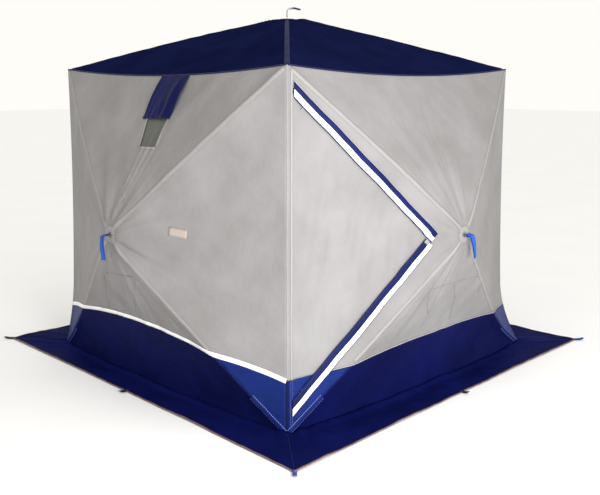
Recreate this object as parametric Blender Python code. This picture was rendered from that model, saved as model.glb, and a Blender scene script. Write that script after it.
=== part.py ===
"""Pop-up ice fishing shelter: a fabric cube with a hub and four rods in each of its five faces.

The origin is on the ground under the middle of the shelter, +Z is up, the door wall faces -Y and
the vent wall faces -X. A face frame has its X and Y in the face and its Z pointing out of the
shelter. Each hub slides along its face frame's Z, between popped out (as built) and popped in.
"""

import math

import bmesh
import bpy
from mathutils import Matrix, Vector

# Driving dimensions, metres
FLOOR_SIDE = 2.0
CORNER_HEIGHT = 1.80
WALL_BULGE = 0.346  # how far a wall hub stands out of its face
ROOF_BULGE = 0.320
SKIRT_WIDTH = 0.300

FABRIC = 0.002
SEAM_PLAY = 0.0005  # between the fabrics of two faces at their shared edge
PIECE_GAP = 0.0006  # between two panels in one plane
PANEL_PLAY = 0.0020  # round a pane or beside a door's hinge edge
CROWN_INSIDE = 0.028  # from the forks' ends in to the side of a face's flat middle
STUD_HOLE_RADIUS = 0.007

ROD_RADIUS = 0.0055
FERRULE_RADIUS = 0.0085
FERRULE_LENGTH = 0.040
FERRULE_GRIP = 0.008  # how far a tang goes into its ferrule
TANG_THICKNESS = 0.008
TANG_EYE_RADIUS = 0.009
TANG_LENGTH = 0.045
PIN_RADIUS = 0.003
PIN_PLAY = 0.0007
FORK_PLAY = 0.001  # beside a tang in its fork
CHEEK = 0.005
CHEEK_REACH = 0.010  # how far a cheek goes past its pin
CHEEK_HALF_HEIGHT = 0.012
HUB_CHEEK_BELOW = 0.009  # from a hub's pin to the lower edge of its cheeks

CORNER_PIVOT_IN = 0.120  # from a face's corner to its rod's pivot, along the face's diagonal
CORNER_PIVOT_DEPTH = 0.045  # from the face's plane to that pivot
CORNER_ARM = 0.034
CORNER_CORE_IN = 0.050
CORNER_CORE_RADIUS = 0.028
FOOT_RADIUS = 0.020

HUB_PIN_CIRCLE = 0.078
HUB_PIN_DEPTH = 0.035  # from the fabric's crown to the pins
HUB_PLATE_INSIDE = 0.028  # from the pins in to the plate's rim
HUB_PLATE_TOP = -0.008
HUB_PLATE = 0.005
HUB_BOSS_RADIUS = 0.009
HUB_FORK_START = 0.0144  # from the hub's axis to where its cheeks start
SLOT_WALL = 0.004
FERRULE_CLEAR = 0.003  # from a hub's cheeks to a rod's ferrule when the rod lies flat
STUD_RADIUS = 0.004
STUD_TOP = 0.010
EYE_WIDTH = 0.044
EYE_HEIGHT = 0.018
EYE_BAR = 0.004

STRAP_WIDTH = 0.030
STRAP = 0.003
STRAP_FOLD = 0.55  # of how far it stands out, the radius it folds over by
STRAP_TUCK = 0.93  # how far its end stands out, of how far its fold does
WALL_STRAP_OUT = 0.034
WALL_STRAP_DROP = 0.132
ROOF_STRAP_OUT = 0.048
ROOF_STRAP_DROP = 0.088

BAND_AT_CORNER = 0.235  # height of the kick band
BAND_AT_MIDDLE = 0.355

DOOR_END_IN = 0.100  # from a face's corner along its edge to a zip's end
DOOR_APEX_IN = 0.200  # from the hub back to where the zips meet, across the face
DOOR_HEM = 0.020  # fabric left between the corner edge and the door
ZIP_GAP = 0.007  # between the door and the wall
ZIP_TAPE = 0.014
ZIP_TEETH = 0.005
ZIP_TAPE_DEPTH = 0.0026
ZIP_END = 0.026  # from the zips' meeting back to the end of each
FLAP_WIDTH = 0.056
FLAP_OVERLAP = 0.030  # how far a storm flap covers the door side of its zip
FLAP_RISE = 0.0085
FLAP_PAST_APEX = 0.012  # how far the upper storm flap runs past the zips' meeting
SLIDER_LENGTH = 0.026
SLIDER_WIDTH = 0.011
SLIDER_RISE = 0.0016
SLIDER_THICKNESS = 0.0050
SLIDER_FROM_EDGE = 0.085  # where a slider rests, across from the corner edge
SLIDER_TAB = 0.032
SLIDER_NOSE = 0.7  # its width at the nose, of its width
SLIDER_TAB_WIDTH = 0.005

VENT_CENTRE = 0.100  # along the vent wall, towards the door
VENT_FLAP_WIDTH = 0.240
VENT_FLAP_SLANT = 0.056  # how far its foot lies towards the back of its top
VENT_FLAP_SHIFT = 0.046  # of its top from the vent's centre, towards the door
VENT_FLAP_FOOT_IN = 0.305  # from the roof edge down to the flap's foot, along the fabric
VENT_FLAP_RISE = 0.003
VENT_FLAP_TOP_IN = 0.046  # from the roof edge down to the seam it hangs from
VENT_TOP_IN = 0.070  # from the roof edge down to the vent hole, along the fabric
VENT_BOTTOM_IN = 0.455
VENT_TOP_WIDTH = 0.225
VENT_BOTTOM_WIDTH = 0.150
VENT_PANE = 0.0012

ROUND_SIDES = 8
SMOOTH_ANGLE = 35  # degrees; edges sharper than this stay sharp
HALF = FLOOR_SIDE / 2
HALF_HEIGHT = CORNER_HEIGHT / 2
SEAM_GAP = FABRIC + SEAM_PLAY
EDGE = HALF - SEAM_GAP
CROWN_HALF = HUB_PIN_CIRCLE + CHEEK_REACH - CROWN_INSIDE
HUB_PLATE_RADIUS = HUB_PIN_CIRCLE - HUB_PLATE_INSIDE
DOOR_HALF_HEIGHT = HALF_HEIGHT - DOOR_END_IN
DOOR_REACH = HALF - DOOR_APEX_IN

FINISHES = {
    "wall_fabric": ("#c3c2c4", 0.75, 0.0),
    "roof_fabric": ("#1a2056", 0.70, 0.0),
    "kick_fabric": ("#11165a", 0.70, 0.0),
    "skirt_fabric": ("#101550", 0.72, 0.0),
    "door_fabric": ("#c9c8ca", 0.75, 0.0),
    "flap_fabric": ("#2b3f8e", 0.65, 0.0),
    "zip_tape": ("#20232e", 0.60, 0.0),
    "slider_metal": ("#2a2b30", 0.40, 0.9),
    "strap_webbing": ("#2a57c4", 0.70, 0.0),
    "roof_webbing": ("#6f7f74", 0.75, 0.0),
    "rod_fibreglass": ("#2b2c30", 0.45, 0.0),
    "joint_plastic": ("#1c1d20", 0.50, 0.0),
    "window_film": ("#7c8078", 0.15, 0.0),
}


def material(finish):
    """The finish's Principled material, made once."""
    if finish in bpy.data.materials:
        return bpy.data.materials[finish]
    colour, roughness, metallic = FINISHES[finish]
    made = bpy.data.materials.new(finish)
    made.use_nodes = True
    shader = made.node_tree.nodes["Principled BSDF"]
    shares = [int(colour[i : i + 2], 16) / 255 for i in (1, 3, 5)]
    linear = [s / 12.92 if s <= 0.04045 else ((s + 0.055) / 1.055) ** 2.4 for s in shares]
    shader.inputs["Base Color"].default_value = (*linear, 1)
    shader.inputs["Roughness"].default_value = roughness
    shader.inputs["Metallic"].default_value = metallic
    return made


def shape_object(name, bm):
    """A new object from a bmesh whose faces are turned outwards."""
    bmesh.ops.recalc_face_normals(bm, faces=bm.faces)
    mesh = bpy.data.meshes.new(name)
    bm.to_mesh(mesh)
    bm.free()
    made = bpy.data.objects.new(name, mesh)
    bpy.context.scene.collection.objects.link(made)
    return made


def box(low, high):
    bm = bmesh.new()
    bmesh.ops.create_cube(bm, size=1)
    low, high = Vector(low), Vector(high)
    bmesh.ops.scale(bm, vec=high - low, verts=bm.verts)
    bmesh.ops.translate(bm, vec=(low + high) / 2, verts=bm.verts)
    return shape_object("box", bm)


def rod_between(start, end, radius, sides=ROUND_SIDES):
    """A cylinder from start to end."""
    start, end = Vector(start), Vector(end)
    along = end - start
    bm = bmesh.new()
    bmesh.ops.create_cone(
        bm, cap_ends=True, segments=sides, radius1=radius, radius2=radius, depth=along.length
    )
    turn = along.to_track_quat("Z", "Y").to_matrix().to_4x4()
    bmesh.ops.transform(bm, matrix=Matrix.Translation((start + end) / 2) @ turn, verts=bm.verts)
    return shape_object("rod_between", bm)


def prism(outline, low, high):
    """An outline in XY, extruded from Z low to Z high."""
    bm = bmesh.new()
    face = bm.faces.new([bm.verts.new((x, y, low)) for x, y in outline])
    raised = bmesh.ops.extrude_face_region(bm, geom=[face])["geom"]
    verts = [v for v in raised if isinstance(v, bmesh.types.BMVert)]
    bmesh.ops.translate(bm, vec=(0, 0, high - low), verts=verts)
    return shape_object("prism", bm)


def side_prism(outline, low, high):
    """An outline in XZ, extruded from Y low to Y high."""
    made = prism(outline, -high, -low)
    made.data.transform(Matrix.Rotation(math.pi / 2, 4, "X"))
    return made


def baked(obj):
    """The object with its modifiers applied."""
    graph = bpy.context.evaluated_depsgraph_get()
    mesh = bpy.data.meshes.new_from_object(obj.evaluated_get(graph))
    obj.modifiers.clear()
    obj.data = mesh
    return obj


def combine(base, parts, operation):
    """Joins the parts to the base or cuts them from it, and removes them."""
    for part in parts:
        modifier = base.modifiers.new(operation.lower(), "BOOLEAN")
        modifier.object = part
        modifier.operation = operation
    baked(base)
    for part in parts:
        bpy.data.objects.remove(part)
    return base


def finished(obj, name, finish, matrix=None):
    """Names an object, gives it its material, smooths what is round and puts it in its place."""
    obj.name = name
    obj.data.materials.clear()
    obj.data.materials.append(material(finish))
    obj.data.shade_smooth()
    obj.data.set_sharp_from_angle(angle=math.radians(SMOOTH_ANGLE))
    if matrix is not None:
        obj.matrix_world = matrix
    return obj


def copy_of(obj):
    made = bpy.data.objects.new(obj.name, obj.data)
    bpy.context.scene.collection.objects.link(made)
    return made


def frame_matrix(across, up, out, origin):
    columns = Matrix((across, up, out)).transposed().to_4x4()
    return Matrix.Translation(origin) @ columns


class Face:
    """One face of the cube: its frame, half sizes and the rods' geometry that follows from them."""

    def __init__(self, name, across, up, out, half_up, origin, bulge):
        self.name = name
        self.half = (HALF, half_up)
        self.bulge = bulge
        self.matrix = frame_matrix(across, up, out, origin)
        self.diagonal = math.hypot(HALF, half_up)
        self.run = self.diagonal - CORNER_PIVOT_IN - HUB_PIN_CIRCLE
        self.rise = bulge - HUB_PIN_DEPTH + CORNER_PIVOT_DEPTH
        self.angle = math.atan2(self.rise, self.run)
        self.rod_length = math.hypot(self.run, self.rise)
        self.overreach = self.rod_length - self.run
        self.stray = self.pin_stray()

    def pin_stray(self):
        """How far a hub's pin strays off its rod's axis on the way, as the rod turns in step with the hub."""
        steps = 40
        strays = []
        for i in range(steps + 1):
            share = i / steps
            turned = share * self.angle
            above = share * self.rise - self.run * math.tan(turned)
            strays.append(above * math.cos(turned))
        return max(strays)

    def inward(self, side_x, side_y):
        """The unit vector in the face from one of its corners to its middle."""
        return -Vector((side_x * self.half[0], side_y * self.half[1], 0)) / self.diagonal

    def pivot(self, side_x, side_y):
        corner = Vector((side_x * self.half[0], side_y * self.half[1], 0))
        depth = Vector((0, 0, CORNER_PIVOT_DEPTH))
        return corner + self.inward(side_x, side_y) * CORNER_PIVOT_IN - depth

    def rod_matrix(self, side_x, side_y):
        """A rod's own frame: its origin on the corner pivot and its X towards the hub."""
        out = Vector((0, 0, 1))
        inward = self.inward(side_x, side_y)
        along = inward * math.cos(self.angle) + out * math.sin(self.angle)
        axis = out.cross(inward)
        own = frame_matrix(along, axis, along.cross(axis), self.pivot(side_x, side_y))
        return self.matrix @ own


def make_faces():
    up = (0, 0, 1)
    walls = (
        ("front", (1, 0, 0), (0, -1, 0)),
        ("right", (0, 1, 0), (1, 0, 0)),
        ("back", (-1, 0, 0), (0, 1, 0)),
        ("left", (0, -1, 0), (-1, 0, 0)),
    )
    faces = []
    for name, across, out in walls:
        origin = Vector(out) * HALF + Vector((0, 0, HALF_HEIGHT))
        faces.append(Face(name, across, up, out, HALF_HEIGHT, origin, WALL_BULGE))
    top = Vector((0, 0, CORNER_HEIGHT))
    faces.append(Face("roof", (1, 0, 0), (0, 1, 0), up, HALF, top, ROOF_BULGE))
    return faces


def face_shell(face):
    """The taut fabric of a face: a low pyramid with a flat crown, one fabric thick."""
    rim = (face.half[0] - SEAM_GAP, face.half[1] - SEAM_GAP)
    quarters = ((-1, -1), (1, -1), (1, 1), (-1, 1))
    bm = bmesh.new()
    low = [bm.verts.new((x * rim[0], y * rim[1], 0)) for x, y in quarters]
    high = [bm.verts.new((x * CROWN_HALF, y * CROWN_HALF, face.bulge)) for x, y in quarters]
    bm.faces.new(high)
    for i in range(4):
        after = (i + 1) % 4
        bm.faces.new((low[i], low[after], high[after], high[i]))
    doubled = bmesh.ops.extrude_face_region(bm, geom=list(bm.faces))["geom"]
    inner = [v for v in doubled if isinstance(v, bmesh.types.BMVert)]
    bmesh.ops.translate(bm, vec=(0, 0, -FABRIC), verts=inner)
    shell = shape_object("shell", bm)
    far = face.bulge * 2
    hole = rod_between((0, 0, 0), (0, 0, far), STUD_HOLE_RADIUS)
    return combine(shell, [hole], "DIFFERENCE")


def band_cutter(lift):
    """What lies under the kick band's arched top edge, raised by lift."""
    steps = 12
    outline = [(-FLOOR_SIDE, -CORNER_HEIGHT), (FLOOR_SIDE, -CORNER_HEIGHT)]
    for i in range(steps + 1):
        share = 1 - 2 * i / steps
        arch = BAND_AT_CORNER + (BAND_AT_MIDDLE - BAND_AT_CORNER) * (1 - share * share)
        outline.append((share * HALF * 1.01, arch - HALF_HEIGHT + lift))
    return prism(outline, -WALL_BULGE, WALL_BULGE * 2)


def door_outline(inset, play):
    """The door's triangle across the front face, inset from its zips and with play at its hinge."""
    slant = math.atan2(DOOR_HALF_HEIGHT, DOOR_REACH)
    shift = inset / math.sin(slant)
    hinge = DOOR_HEM + play
    half = (DOOR_REACH - shift - hinge) * math.tan(slant)
    return [(hinge, -half), (DOOR_REACH - shift, 0), (hinge, half)]


def door_cutter():
    outline = [(x - EDGE, y) for x, y in door_outline(0, 0)]
    return prism(outline, -WALL_BULGE, WALL_BULGE * 2)


def vent_outline(inset, squeeze):
    """The vent's hole, with Y down the fabric from the roof edge, and squeeze to turn that to height."""
    top = VENT_TOP_IN + inset
    bottom = VENT_BOTTOM_IN - inset
    half_top = VENT_TOP_WIDTH / 2 - inset
    half_bottom = VENT_BOTTOM_WIDTH / 2 - inset
    return [
        (VENT_CENTRE - half_bottom, -bottom * squeeze),
        (VENT_CENTRE + half_bottom, -bottom * squeeze),
        (VENT_CENTRE + half_top, -top * squeeze),
        (VENT_CENTRE - half_top, -top * squeeze),
    ]


def vent_tilt():
    """How far the vent wall's top panel leans out of the vertical."""
    return math.atan2(WALL_BULGE, HALF_HEIGHT - SEAM_GAP - CROWN_HALF)


def vent_cutter():
    top = HALF_HEIGHT - SEAM_GAP
    outline = [(x, top + y) for x, y in vent_outline(0, math.cos(vent_tilt()))]
    return prism(outline, -WALL_BULGE, WALL_BULGE * 2)


def make_fabric(faces):
    """The roof, the four walls and the kick band sewn along each wall's foot."""
    for face in faces:
        if face.name == "roof":
            finished(face_shell(face), "roof_fabric", "roof_fabric", face.matrix)
            continue
        openings = {"front": door_cutter, "left": vent_cutter}
        wall_cuts = [band_cutter(PIECE_GAP / 2)]
        if face.name in openings:
            wall_cuts.append(openings[face.name]())
        wall = combine(face_shell(face), wall_cuts, "DIFFERENCE")
        finished(wall, f"{face.name}_wall_fabric", "wall_fabric", face.matrix)
        band = combine(face_shell(face), [band_cutter(-PIECE_GAP / 2)], "INTERSECT")
        if face.name == "front":
            combine(band, [door_cutter()], "DIFFERENCE")
        finished(band, f"{face.name}_kick_band", "kick_fabric", face.matrix)


def make_skirt():
    """The flat snow skirt: a square ring on the ground, tucked under the walls' feet."""
    outer = HALF + SKIRT_WIDTH
    inner = HALF - 2 * FABRIC
    skirt = box((-outer, -outer, 0), (outer, outer, FABRIC))
    hole = box((-inner, -inner, -FABRIC), (inner, inner, 2 * FABRIC))
    finished(combine(skirt, [hole], "DIFFERENCE"), "snow_skirt", "skirt_fabric")


def round_plate(start, end, half_height):
    """A tang's outline in XZ: straight at start, round at end."""
    steps = 4
    outline = [(start, half_height), (start, -half_height)]
    for i in range(steps + 1):
        turn = -math.pi / 2 + math.pi * i / steps
        x = end - half_height + half_height * math.cos(turn)
        outline.append((x, half_height * math.sin(turn)))
    return outline


def slot_outline(start, end, radius):
    """A slot's outline in XZ between the centres of its round ends."""
    steps = 3
    outline = []
    for centre, first in ((start, math.pi / 2), (end, -math.pi / 2)):
        for i in range(steps + 1):
            turn = first + math.pi * i / steps
            outline.append((centre + radius * math.cos(turn), radius * math.sin(turn)))
    return outline


def rod_shape(face):
    """A rod with its ferrules, the eyed tang at its corner end and the slotted one at its hub end."""
    half_tang = TANG_THICKNESS / 2
    length = face.rod_length
    slot_radius = PIN_RADIUS + face.stray + PIN_PLAY
    slot_start = length - face.overreach - PIN_PLAY
    hub_half = slot_radius + SLOT_WALL
    first_ferrule = TANG_LENGTH - FERRULE_GRIP
    last_ferrule_end = slot_start - CHEEK_REACH - FERRULE_CLEAR
    corner_outline = [(-x, z) for x, z in round_plate(-TANG_LENGTH, TANG_EYE_RADIUS, TANG_EYE_RADIUS)]
    hub_outline = round_plate(last_ferrule_end - FERRULE_GRIP, length + hub_half, hub_half)
    corner_tang = side_prism(corner_outline, -half_tang, half_tang)
    hub_tang = side_prism(hub_outline, -half_tang, half_tang)
    rod_start = first_ferrule + FERRULE_GRIP / 2
    rod_end = last_ferrule_end - FERRULE_GRIP / 2
    rod = rod_between((rod_start, 0, 0), (rod_end, 0, 0), ROD_RADIUS)
    ferrules = [
        rod_between((x, 0, 0), (x + FERRULE_LENGTH, 0, 0), FERRULE_RADIUS)
        for x in (first_ferrule, last_ferrule_end - FERRULE_LENGTH)
    ]
    combine(rod, [corner_tang, hub_tang, *ferrules], "UNION")
    eye = rod_between((0, -half_tang * 2, 0), (0, half_tang * 2, 0), PIN_RADIUS + PIN_PLAY)
    slot = side_prism(slot_outline(slot_start, length, slot_radius), -half_tang * 2, half_tang * 2)
    return combine(rod, [eye, slot], "DIFFERENCE")


CORNER_NAMES = {
    "front": {(-1, 1): "top_left", (1, 1): "top_right", (-1, -1): "low_left", (1, -1): "low_right"},
    "roof": {(-1, -1): "front_left", (1, -1): "front_right", (1, 1): "back_right", (-1, 1): "back_left"},
}


def make_rods(faces):
    """Four rods to a face, all alike in a face, each hinged on its corner joint."""
    for face in faces:
        if face.name in ("front", "roof"):
            shape = rod_shape(face)
        names = CORNER_NAMES["roof" if face.name == "roof" else "front"]
        for sides, corner in names.items():
            rod = copy_of(shape)
            finished(rod, f"{face.name}_rod_{corner}", "rod_fibreglass", face.rod_matrix(*sides))
        if face.name in ("left", "roof"):
            bpy.data.objects.remove(shape)


def fork(pin_at, reach_back, below, top):
    """Two cheeks along X with a pin across them, from below the pin up to Z top."""
    inner = TANG_THICKNESS / 2 + FORK_PLAY
    outer = inner + CHEEK
    x_low, x_high = pin_at - reach_back, pin_at + CHEEK_REACH
    cheeks = [
        box((x_low, min(y), -below), (x_high, max(y), top))
        for y in ((inner, outer), (-outer, -inner))
    ]
    middle = CHEEK / 2 + inner
    return [*cheeks, rod_between((pin_at, -middle, 0), (pin_at, middle, 0), PIN_RADIUS)]


def moved(parts, matrix):
    for part in parts:
        part.data.transform(matrix)
    return parts


def eye_plate():
    """The flat steel eye on a hub's stud, with a straight bar that its pull strap hangs on."""
    half = EYE_WIDTH / 2
    base = STUD_TOP - EYE_BAR
    top = base + EYE_HEIGHT
    plate = box((-half, -EYE_BAR / 2, base), (half, EYE_BAR / 2, top))
    hole_low = (-half + EYE_BAR, -EYE_BAR, base + EYE_BAR)
    hole = box(hole_low, (half - EYE_BAR, EYE_BAR, top - EYE_BAR))
    return combine(plate, [hole], "DIFFERENCE")


def hub_shape(face, eye_turn):
    """A hub in its face's frame, with Z 0 at the fabric's crown: plate, four forks, stud and eye."""
    plate_low = HUB_PLATE_TOP - HUB_PLATE
    hub = rod_between((0, 0, plate_low), (0, 0, HUB_PLATE_TOP), HUB_PLATE_RADIUS, 2 * ROUND_SIDES)
    parts = [rod_between((0, 0, -HUB_PIN_DEPTH), (0, 0, plate_low + HUB_PLATE / 2), HUB_BOSS_RADIUS)]
    top = HUB_PIN_DEPTH + plate_low + HUB_PLATE / 2
    for sides in CORNER_NAMES["roof"]:
        outward = -face.inward(*sides)
        turn = math.atan2(outward.y, outward.x)
        place = Matrix.Rotation(turn, 4, "Z") @ Matrix.Translation((0, 0, -HUB_PIN_DEPTH))
        reach_back = HUB_PIN_CIRCLE - HUB_FORK_START
        parts += moved(fork(HUB_PIN_CIRCLE, reach_back, HUB_CHEEK_BELOW, top), place)
    parts.append(rod_between((0, 0, plate_low), (0, 0, STUD_TOP - EYE_BAR / 2), STUD_RADIUS))
    parts += moved([eye_plate()], Matrix.Rotation(eye_turn, 4, "Z"))
    return combine(hub, parts, "UNION")


def strap_shape(out, drop):
    """A pull strap about its bar: X is the bar, Z is out of the face and -Y is where it droops."""
    bend = out * STRAP_FOLD
    reach = out - bend
    middle = [(0.0, 0.0), (0.0, reach)]
    steps = 5
    for i in range(1, steps + 1):
        turn = math.pi / 2 * i / steps
        middle.append((-bend * (1 - math.cos(turn)), reach + bend * math.sin(turn)))
    middle.append((-bend - (drop - bend), out * STRAP_TUCK))
    sides = ([], [])
    for i, (y, z) in enumerate(middle):
        before = middle[max(i - 1, 0)]
        after = middle[min(i + 1, len(middle) - 1)]
        along = Vector((after[0] - before[0], after[1] - before[1])).normalized()
        for side, sign in zip(sides, (1, -1), strict=True):
            side.append((y - along.y * sign * STRAP / 2, z + along.x * sign * STRAP / 2))
    half = STRAP_WIDTH / 2
    bm = bmesh.new()
    outline = sides[0] + sides[1][::-1]
    face = bm.faces.new([bm.verts.new((-half, y, z)) for y, z in outline])
    doubled = bmesh.ops.extrude_face_region(bm, geom=[face])["geom"]
    verts = [v for v in doubled if isinstance(v, bmesh.types.BMVert)]
    bmesh.ops.translate(bm, vec=(STRAP_WIDTH, 0, 0), verts=verts)
    strap = shape_object("strap", bm)
    hold = EYE_BAR / 2 * math.sqrt(2) + FORK_PLAY
    loop = rod_between((-half, 0, 0), (half, 0, 0), hold + STRAP / 2)
    combine(strap, [loop], "UNION")
    bar = rod_between((-STRAP_WIDTH, 0, 0), (STRAP_WIDTH, 0, 0), hold)
    return combine(strap, [bar], "DIFFERENCE")


def make_hubs(faces):
    """Each face's hub, with the pull strap that hangs on its eye outside the fabric."""
    bar_height = STUD_TOP - EYE_BAR + EYE_HEIGHT - EYE_BAR / 2
    for face in faces:
        roof = face.name == "roof"
        turn = math.pi / 4 if roof else 0.0
        crown = face.matrix @ Matrix.Translation((0, 0, face.bulge))
        finished(hub_shape(face, turn), f"{face.name}_hub", "joint_plastic", crown)
        out, drop = (ROOF_STRAP_OUT, ROOF_STRAP_DROP) if roof else (WALL_STRAP_OUT, WALL_STRAP_DROP)
        place = crown @ Matrix.Rotation(turn, 4, "Z") @ Matrix.Translation((0, 0, bar_height))
        webbing = "roof_webbing" if roof else "strap_webbing"
        finished(strap_shape(out, drop), f"{face.name}_pull_strap", webbing, place)


def corner_parts(face, side_x, side_y):
    """A corner's fork for one face, in the face's frame, turned so that X runs to the hub."""
    inward = face.inward(side_x, side_y)
    axis = Vector((0, 0, 1)).cross(inward)
    own = frame_matrix(inward, axis, Vector((0, 0, 1)), face.pivot(side_x, side_y))
    half = CHEEK_HALF_HEIGHT
    return moved(fork(0, CORNER_ARM, half, half), face.matrix @ own)


def make_corners(faces):
    """The eight moulded corner joints: three forks at the roof, two and a foot at the ground."""
    by_name = {face.name: face for face in faces}
    walls_at = {
        "front_left": (("front", -1), ("left", 1)),
        "front_right": (("front", 1), ("right", -1)),
        "back_right": (("back", -1), ("right", 1)),
        "back_left": (("back", 1), ("left", -1)),
    }
    for sides, corner in CORNER_NAMES["roof"].items():
        for level, up in (("top", 1), ("bottom", -1)):
            height = CORNER_HEIGHT if up > 0 else 0
            into = Vector((-sides[0], -sides[1], -up)) * CORNER_CORE_IN
            middle = Vector((sides[0] * HALF, sides[1] * HALF, height)) + into
            bm = bmesh.new()
            bmesh.ops.create_icosphere(bm, subdivisions=2, radius=CORNER_CORE_RADIUS)
            bmesh.ops.translate(bm, vec=middle, verts=bm.verts)
            core = shape_object("core", bm)
            parts = []
            for wall, side_x in walls_at[corner]:
                parts += corner_parts(by_name[wall], side_x, up)
            if up > 0:
                parts += corner_parts(by_name["roof"], *sides)
            else:
                foot = Vector((middle.x, middle.y, 0))
                parts.append(rod_between(foot, middle, FOOT_RADIUS))
            combine(core, parts, "UNION")
            finished(core, f"{level}_corner_{corner}", "joint_plastic")


def door_lean():
    """How far the door's side of the front wall turns out of the wall's plane."""
    return math.atan2(WALL_BULGE, EDGE - CROWN_HALF)


def door_matrix():
    """The door's frame: origin on the corner edge at mid-height, X to the hub and Z outwards."""
    lean = door_lean()
    across = Vector((math.cos(lean), -math.sin(lean), 0))
    up = Vector((0, 0, 1))
    return frame_matrix(across, up, across.cross(up), Vector((-EDGE, -HALF, HALF_HEIGHT)))


def zip_frame(side):
    """The frame along one zip: origin where it leaves the corner edge, X along it, Y to the wall side."""
    start = Vector((0, side * DOOR_HALF_HEIGHT, 0))
    apex = Vector((DOOR_REACH / math.cos(door_lean()), 0, 0))
    along = (apex - start).normalized()
    across = Vector((0, 0, 1)).cross(along) * side
    own = frame_matrix(along, across, Vector((0, 0, side)), start)
    return own, (apex - start).length, along


def strip(side, low_y, high_y, low_z, high_z, start_cut, ends):
    """A strip beside a zip, in the door's frame: its start is cut parallel to the corner edge, and
    ends gives how far short of the zips' meeting its low and its high side stop."""
    own, length, along = zip_frame(side)
    steep = abs(along.y) / along.x
    outline = [(start_cut / along.x - y * steep, y) for y in (low_y, high_y)]
    outline.append((length - ends[1], high_y))
    outline.append((length - ends[0], low_y))
    made = prism(outline, *sorted((side * low_z, side * high_z)))
    made.data.transform(own)
    return made


def stops_at_upper_flap(along, y):
    """How far short of the zips' meeting the lower storm flap stops, at y across it."""
    meeting = 2 * math.atan2(abs(along.y), along.x)
    return (FLAP_OVERLAP + FABRIC - y * math.cos(meeting)) / math.sin(meeting)


def make_door():
    """The door panel, its two zips with their sliders, and the storm flaps outside them."""
    place = door_matrix()
    stretch = 1 / math.cos(door_lean())
    panel_outline = [(x * stretch, y) for x, y in door_outline(ZIP_GAP, PANEL_PLAY)]
    finished(prism(panel_outline, -FABRIC, 0), "door_panel", "door_fabric", place)
    start = (DOOR_HEM + PANEL_PLAY) * stretch
    for side, level in ((1, "upper"), (-1, "lower")):
        own, _, along = zip_frame(side)
        teeth_mid = -ZIP_GAP / 2
        ends = (ZIP_END, ZIP_END)
        tape_low = -ZIP_TAPE_DEPTH - FABRIC / 2
        tape = strip(side, teeth_mid, ZIP_TAPE, tape_low, -ZIP_TAPE_DEPTH, start, ends)
        low, high = teeth_mid - ZIP_TEETH / 2, teeth_mid + ZIP_TEETH / 2
        teeth_low = -ZIP_TAPE_DEPTH - FABRIC / 4
        teeth = strip(side, low, high, teeth_low, FABRIC / 4, start + PANEL_PLAY * 2, ends)
        combine(tape, [teeth], "UNION")
        finished(tape, f"{level}_zip", "zip_tape", place)
        low, high = -FLAP_OVERLAP, FLAP_WIDTH - FLAP_OVERLAP
        if side > 0:
            ends = (-FLAP_PAST_APEX, -FLAP_PAST_APEX)
        else:
            ends = (stops_at_upper_flap(along, low), stops_at_upper_flap(along, high))
        flap = strip(side, low, high, FLAP_RISE, FLAP_RISE + FABRIC, start, ends)
        finished(flap, f"{level}_storm_flap", "flap_fabric", place)
        half = SLIDER_WIDTH / 2
        nose = half * SLIDER_NOSE
        first = (SLIDER_FROM_EDGE * stretch) / along.x
        last = first + SLIDER_LENGTH
        body = [(first, -half), (last, -nose), (last, nose), (first, half)]
        low, high = first + half, first + half + SLIDER_TAB_WIDTH
        tab = [(low, -SLIDER_TAB), (high, -SLIDER_TAB), (high, 0), (low, 0)]
        lows = (SLIDER_RISE, SLIDER_RISE + SLIDER_THICKNESS / 3)
        highs = (SLIDER_RISE + SLIDER_THICKNESS, SLIDER_RISE + SLIDER_THICKNESS * 2 / 3)
        solids = []
        for outline, low, high in zip((body, tab), lows, highs, strict=True):
            shifted = [(x, y + teeth_mid) for x, y in outline]
            made = prism(shifted, low, high) if side > 0 else prism(shifted, -high, -low)
            made.data.transform(own)
            solids.append(made)
        slider = combine(solids[0], solids[1:], "UNION")
        finished(slider, f"{level}_zip_slider", "slider_metal", place)


def make_vent():
    """The vent in the vent wall's top panel: a clear pane, and a flap hung from the roof edge."""
    tilt = vent_tilt()
    across = Vector((0, -1, 0))
    up = Vector((math.sin(tilt), 0, math.cos(tilt)))
    origin = Vector((-HALF, 0, CORNER_HEIGHT - SEAM_GAP))
    place = frame_matrix(across, up, across.cross(up), origin)
    pane = prism(vent_outline(PANEL_PLAY, 1), -VENT_PANE - PIECE_GAP, -PIECE_GAP)
    finished(pane, "vent_window", "window_film", place)
    half = VENT_FLAP_WIDTH / 2
    middle = VENT_CENTRE + VENT_FLAP_SHIFT
    foot = middle - VENT_FLAP_SLANT
    outline = [
        (foot - half, -VENT_FLAP_FOOT_IN),
        (foot + half, -VENT_FLAP_FOOT_IN),
        (middle + half, -VENT_FLAP_TOP_IN),
        (middle - half, -VENT_FLAP_TOP_IN),
    ]
    flap = prism(outline, VENT_FLAP_RISE, VENT_FLAP_RISE + FABRIC)
    finished(flap, "vent_flap", "flap_fabric", place)


def main():
    for obj in list(bpy.data.objects):
        bpy.data.objects.remove(obj)
    faces = make_faces()
    make_fabric(faces)
    make_skirt()
    make_rods(faces)
    make_hubs(faces)
    make_corners(faces)
    make_door()
    make_vent()


main()
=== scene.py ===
import math

import bmesh
import bpy
from mathutils import Matrix, Vector, noise


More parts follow.
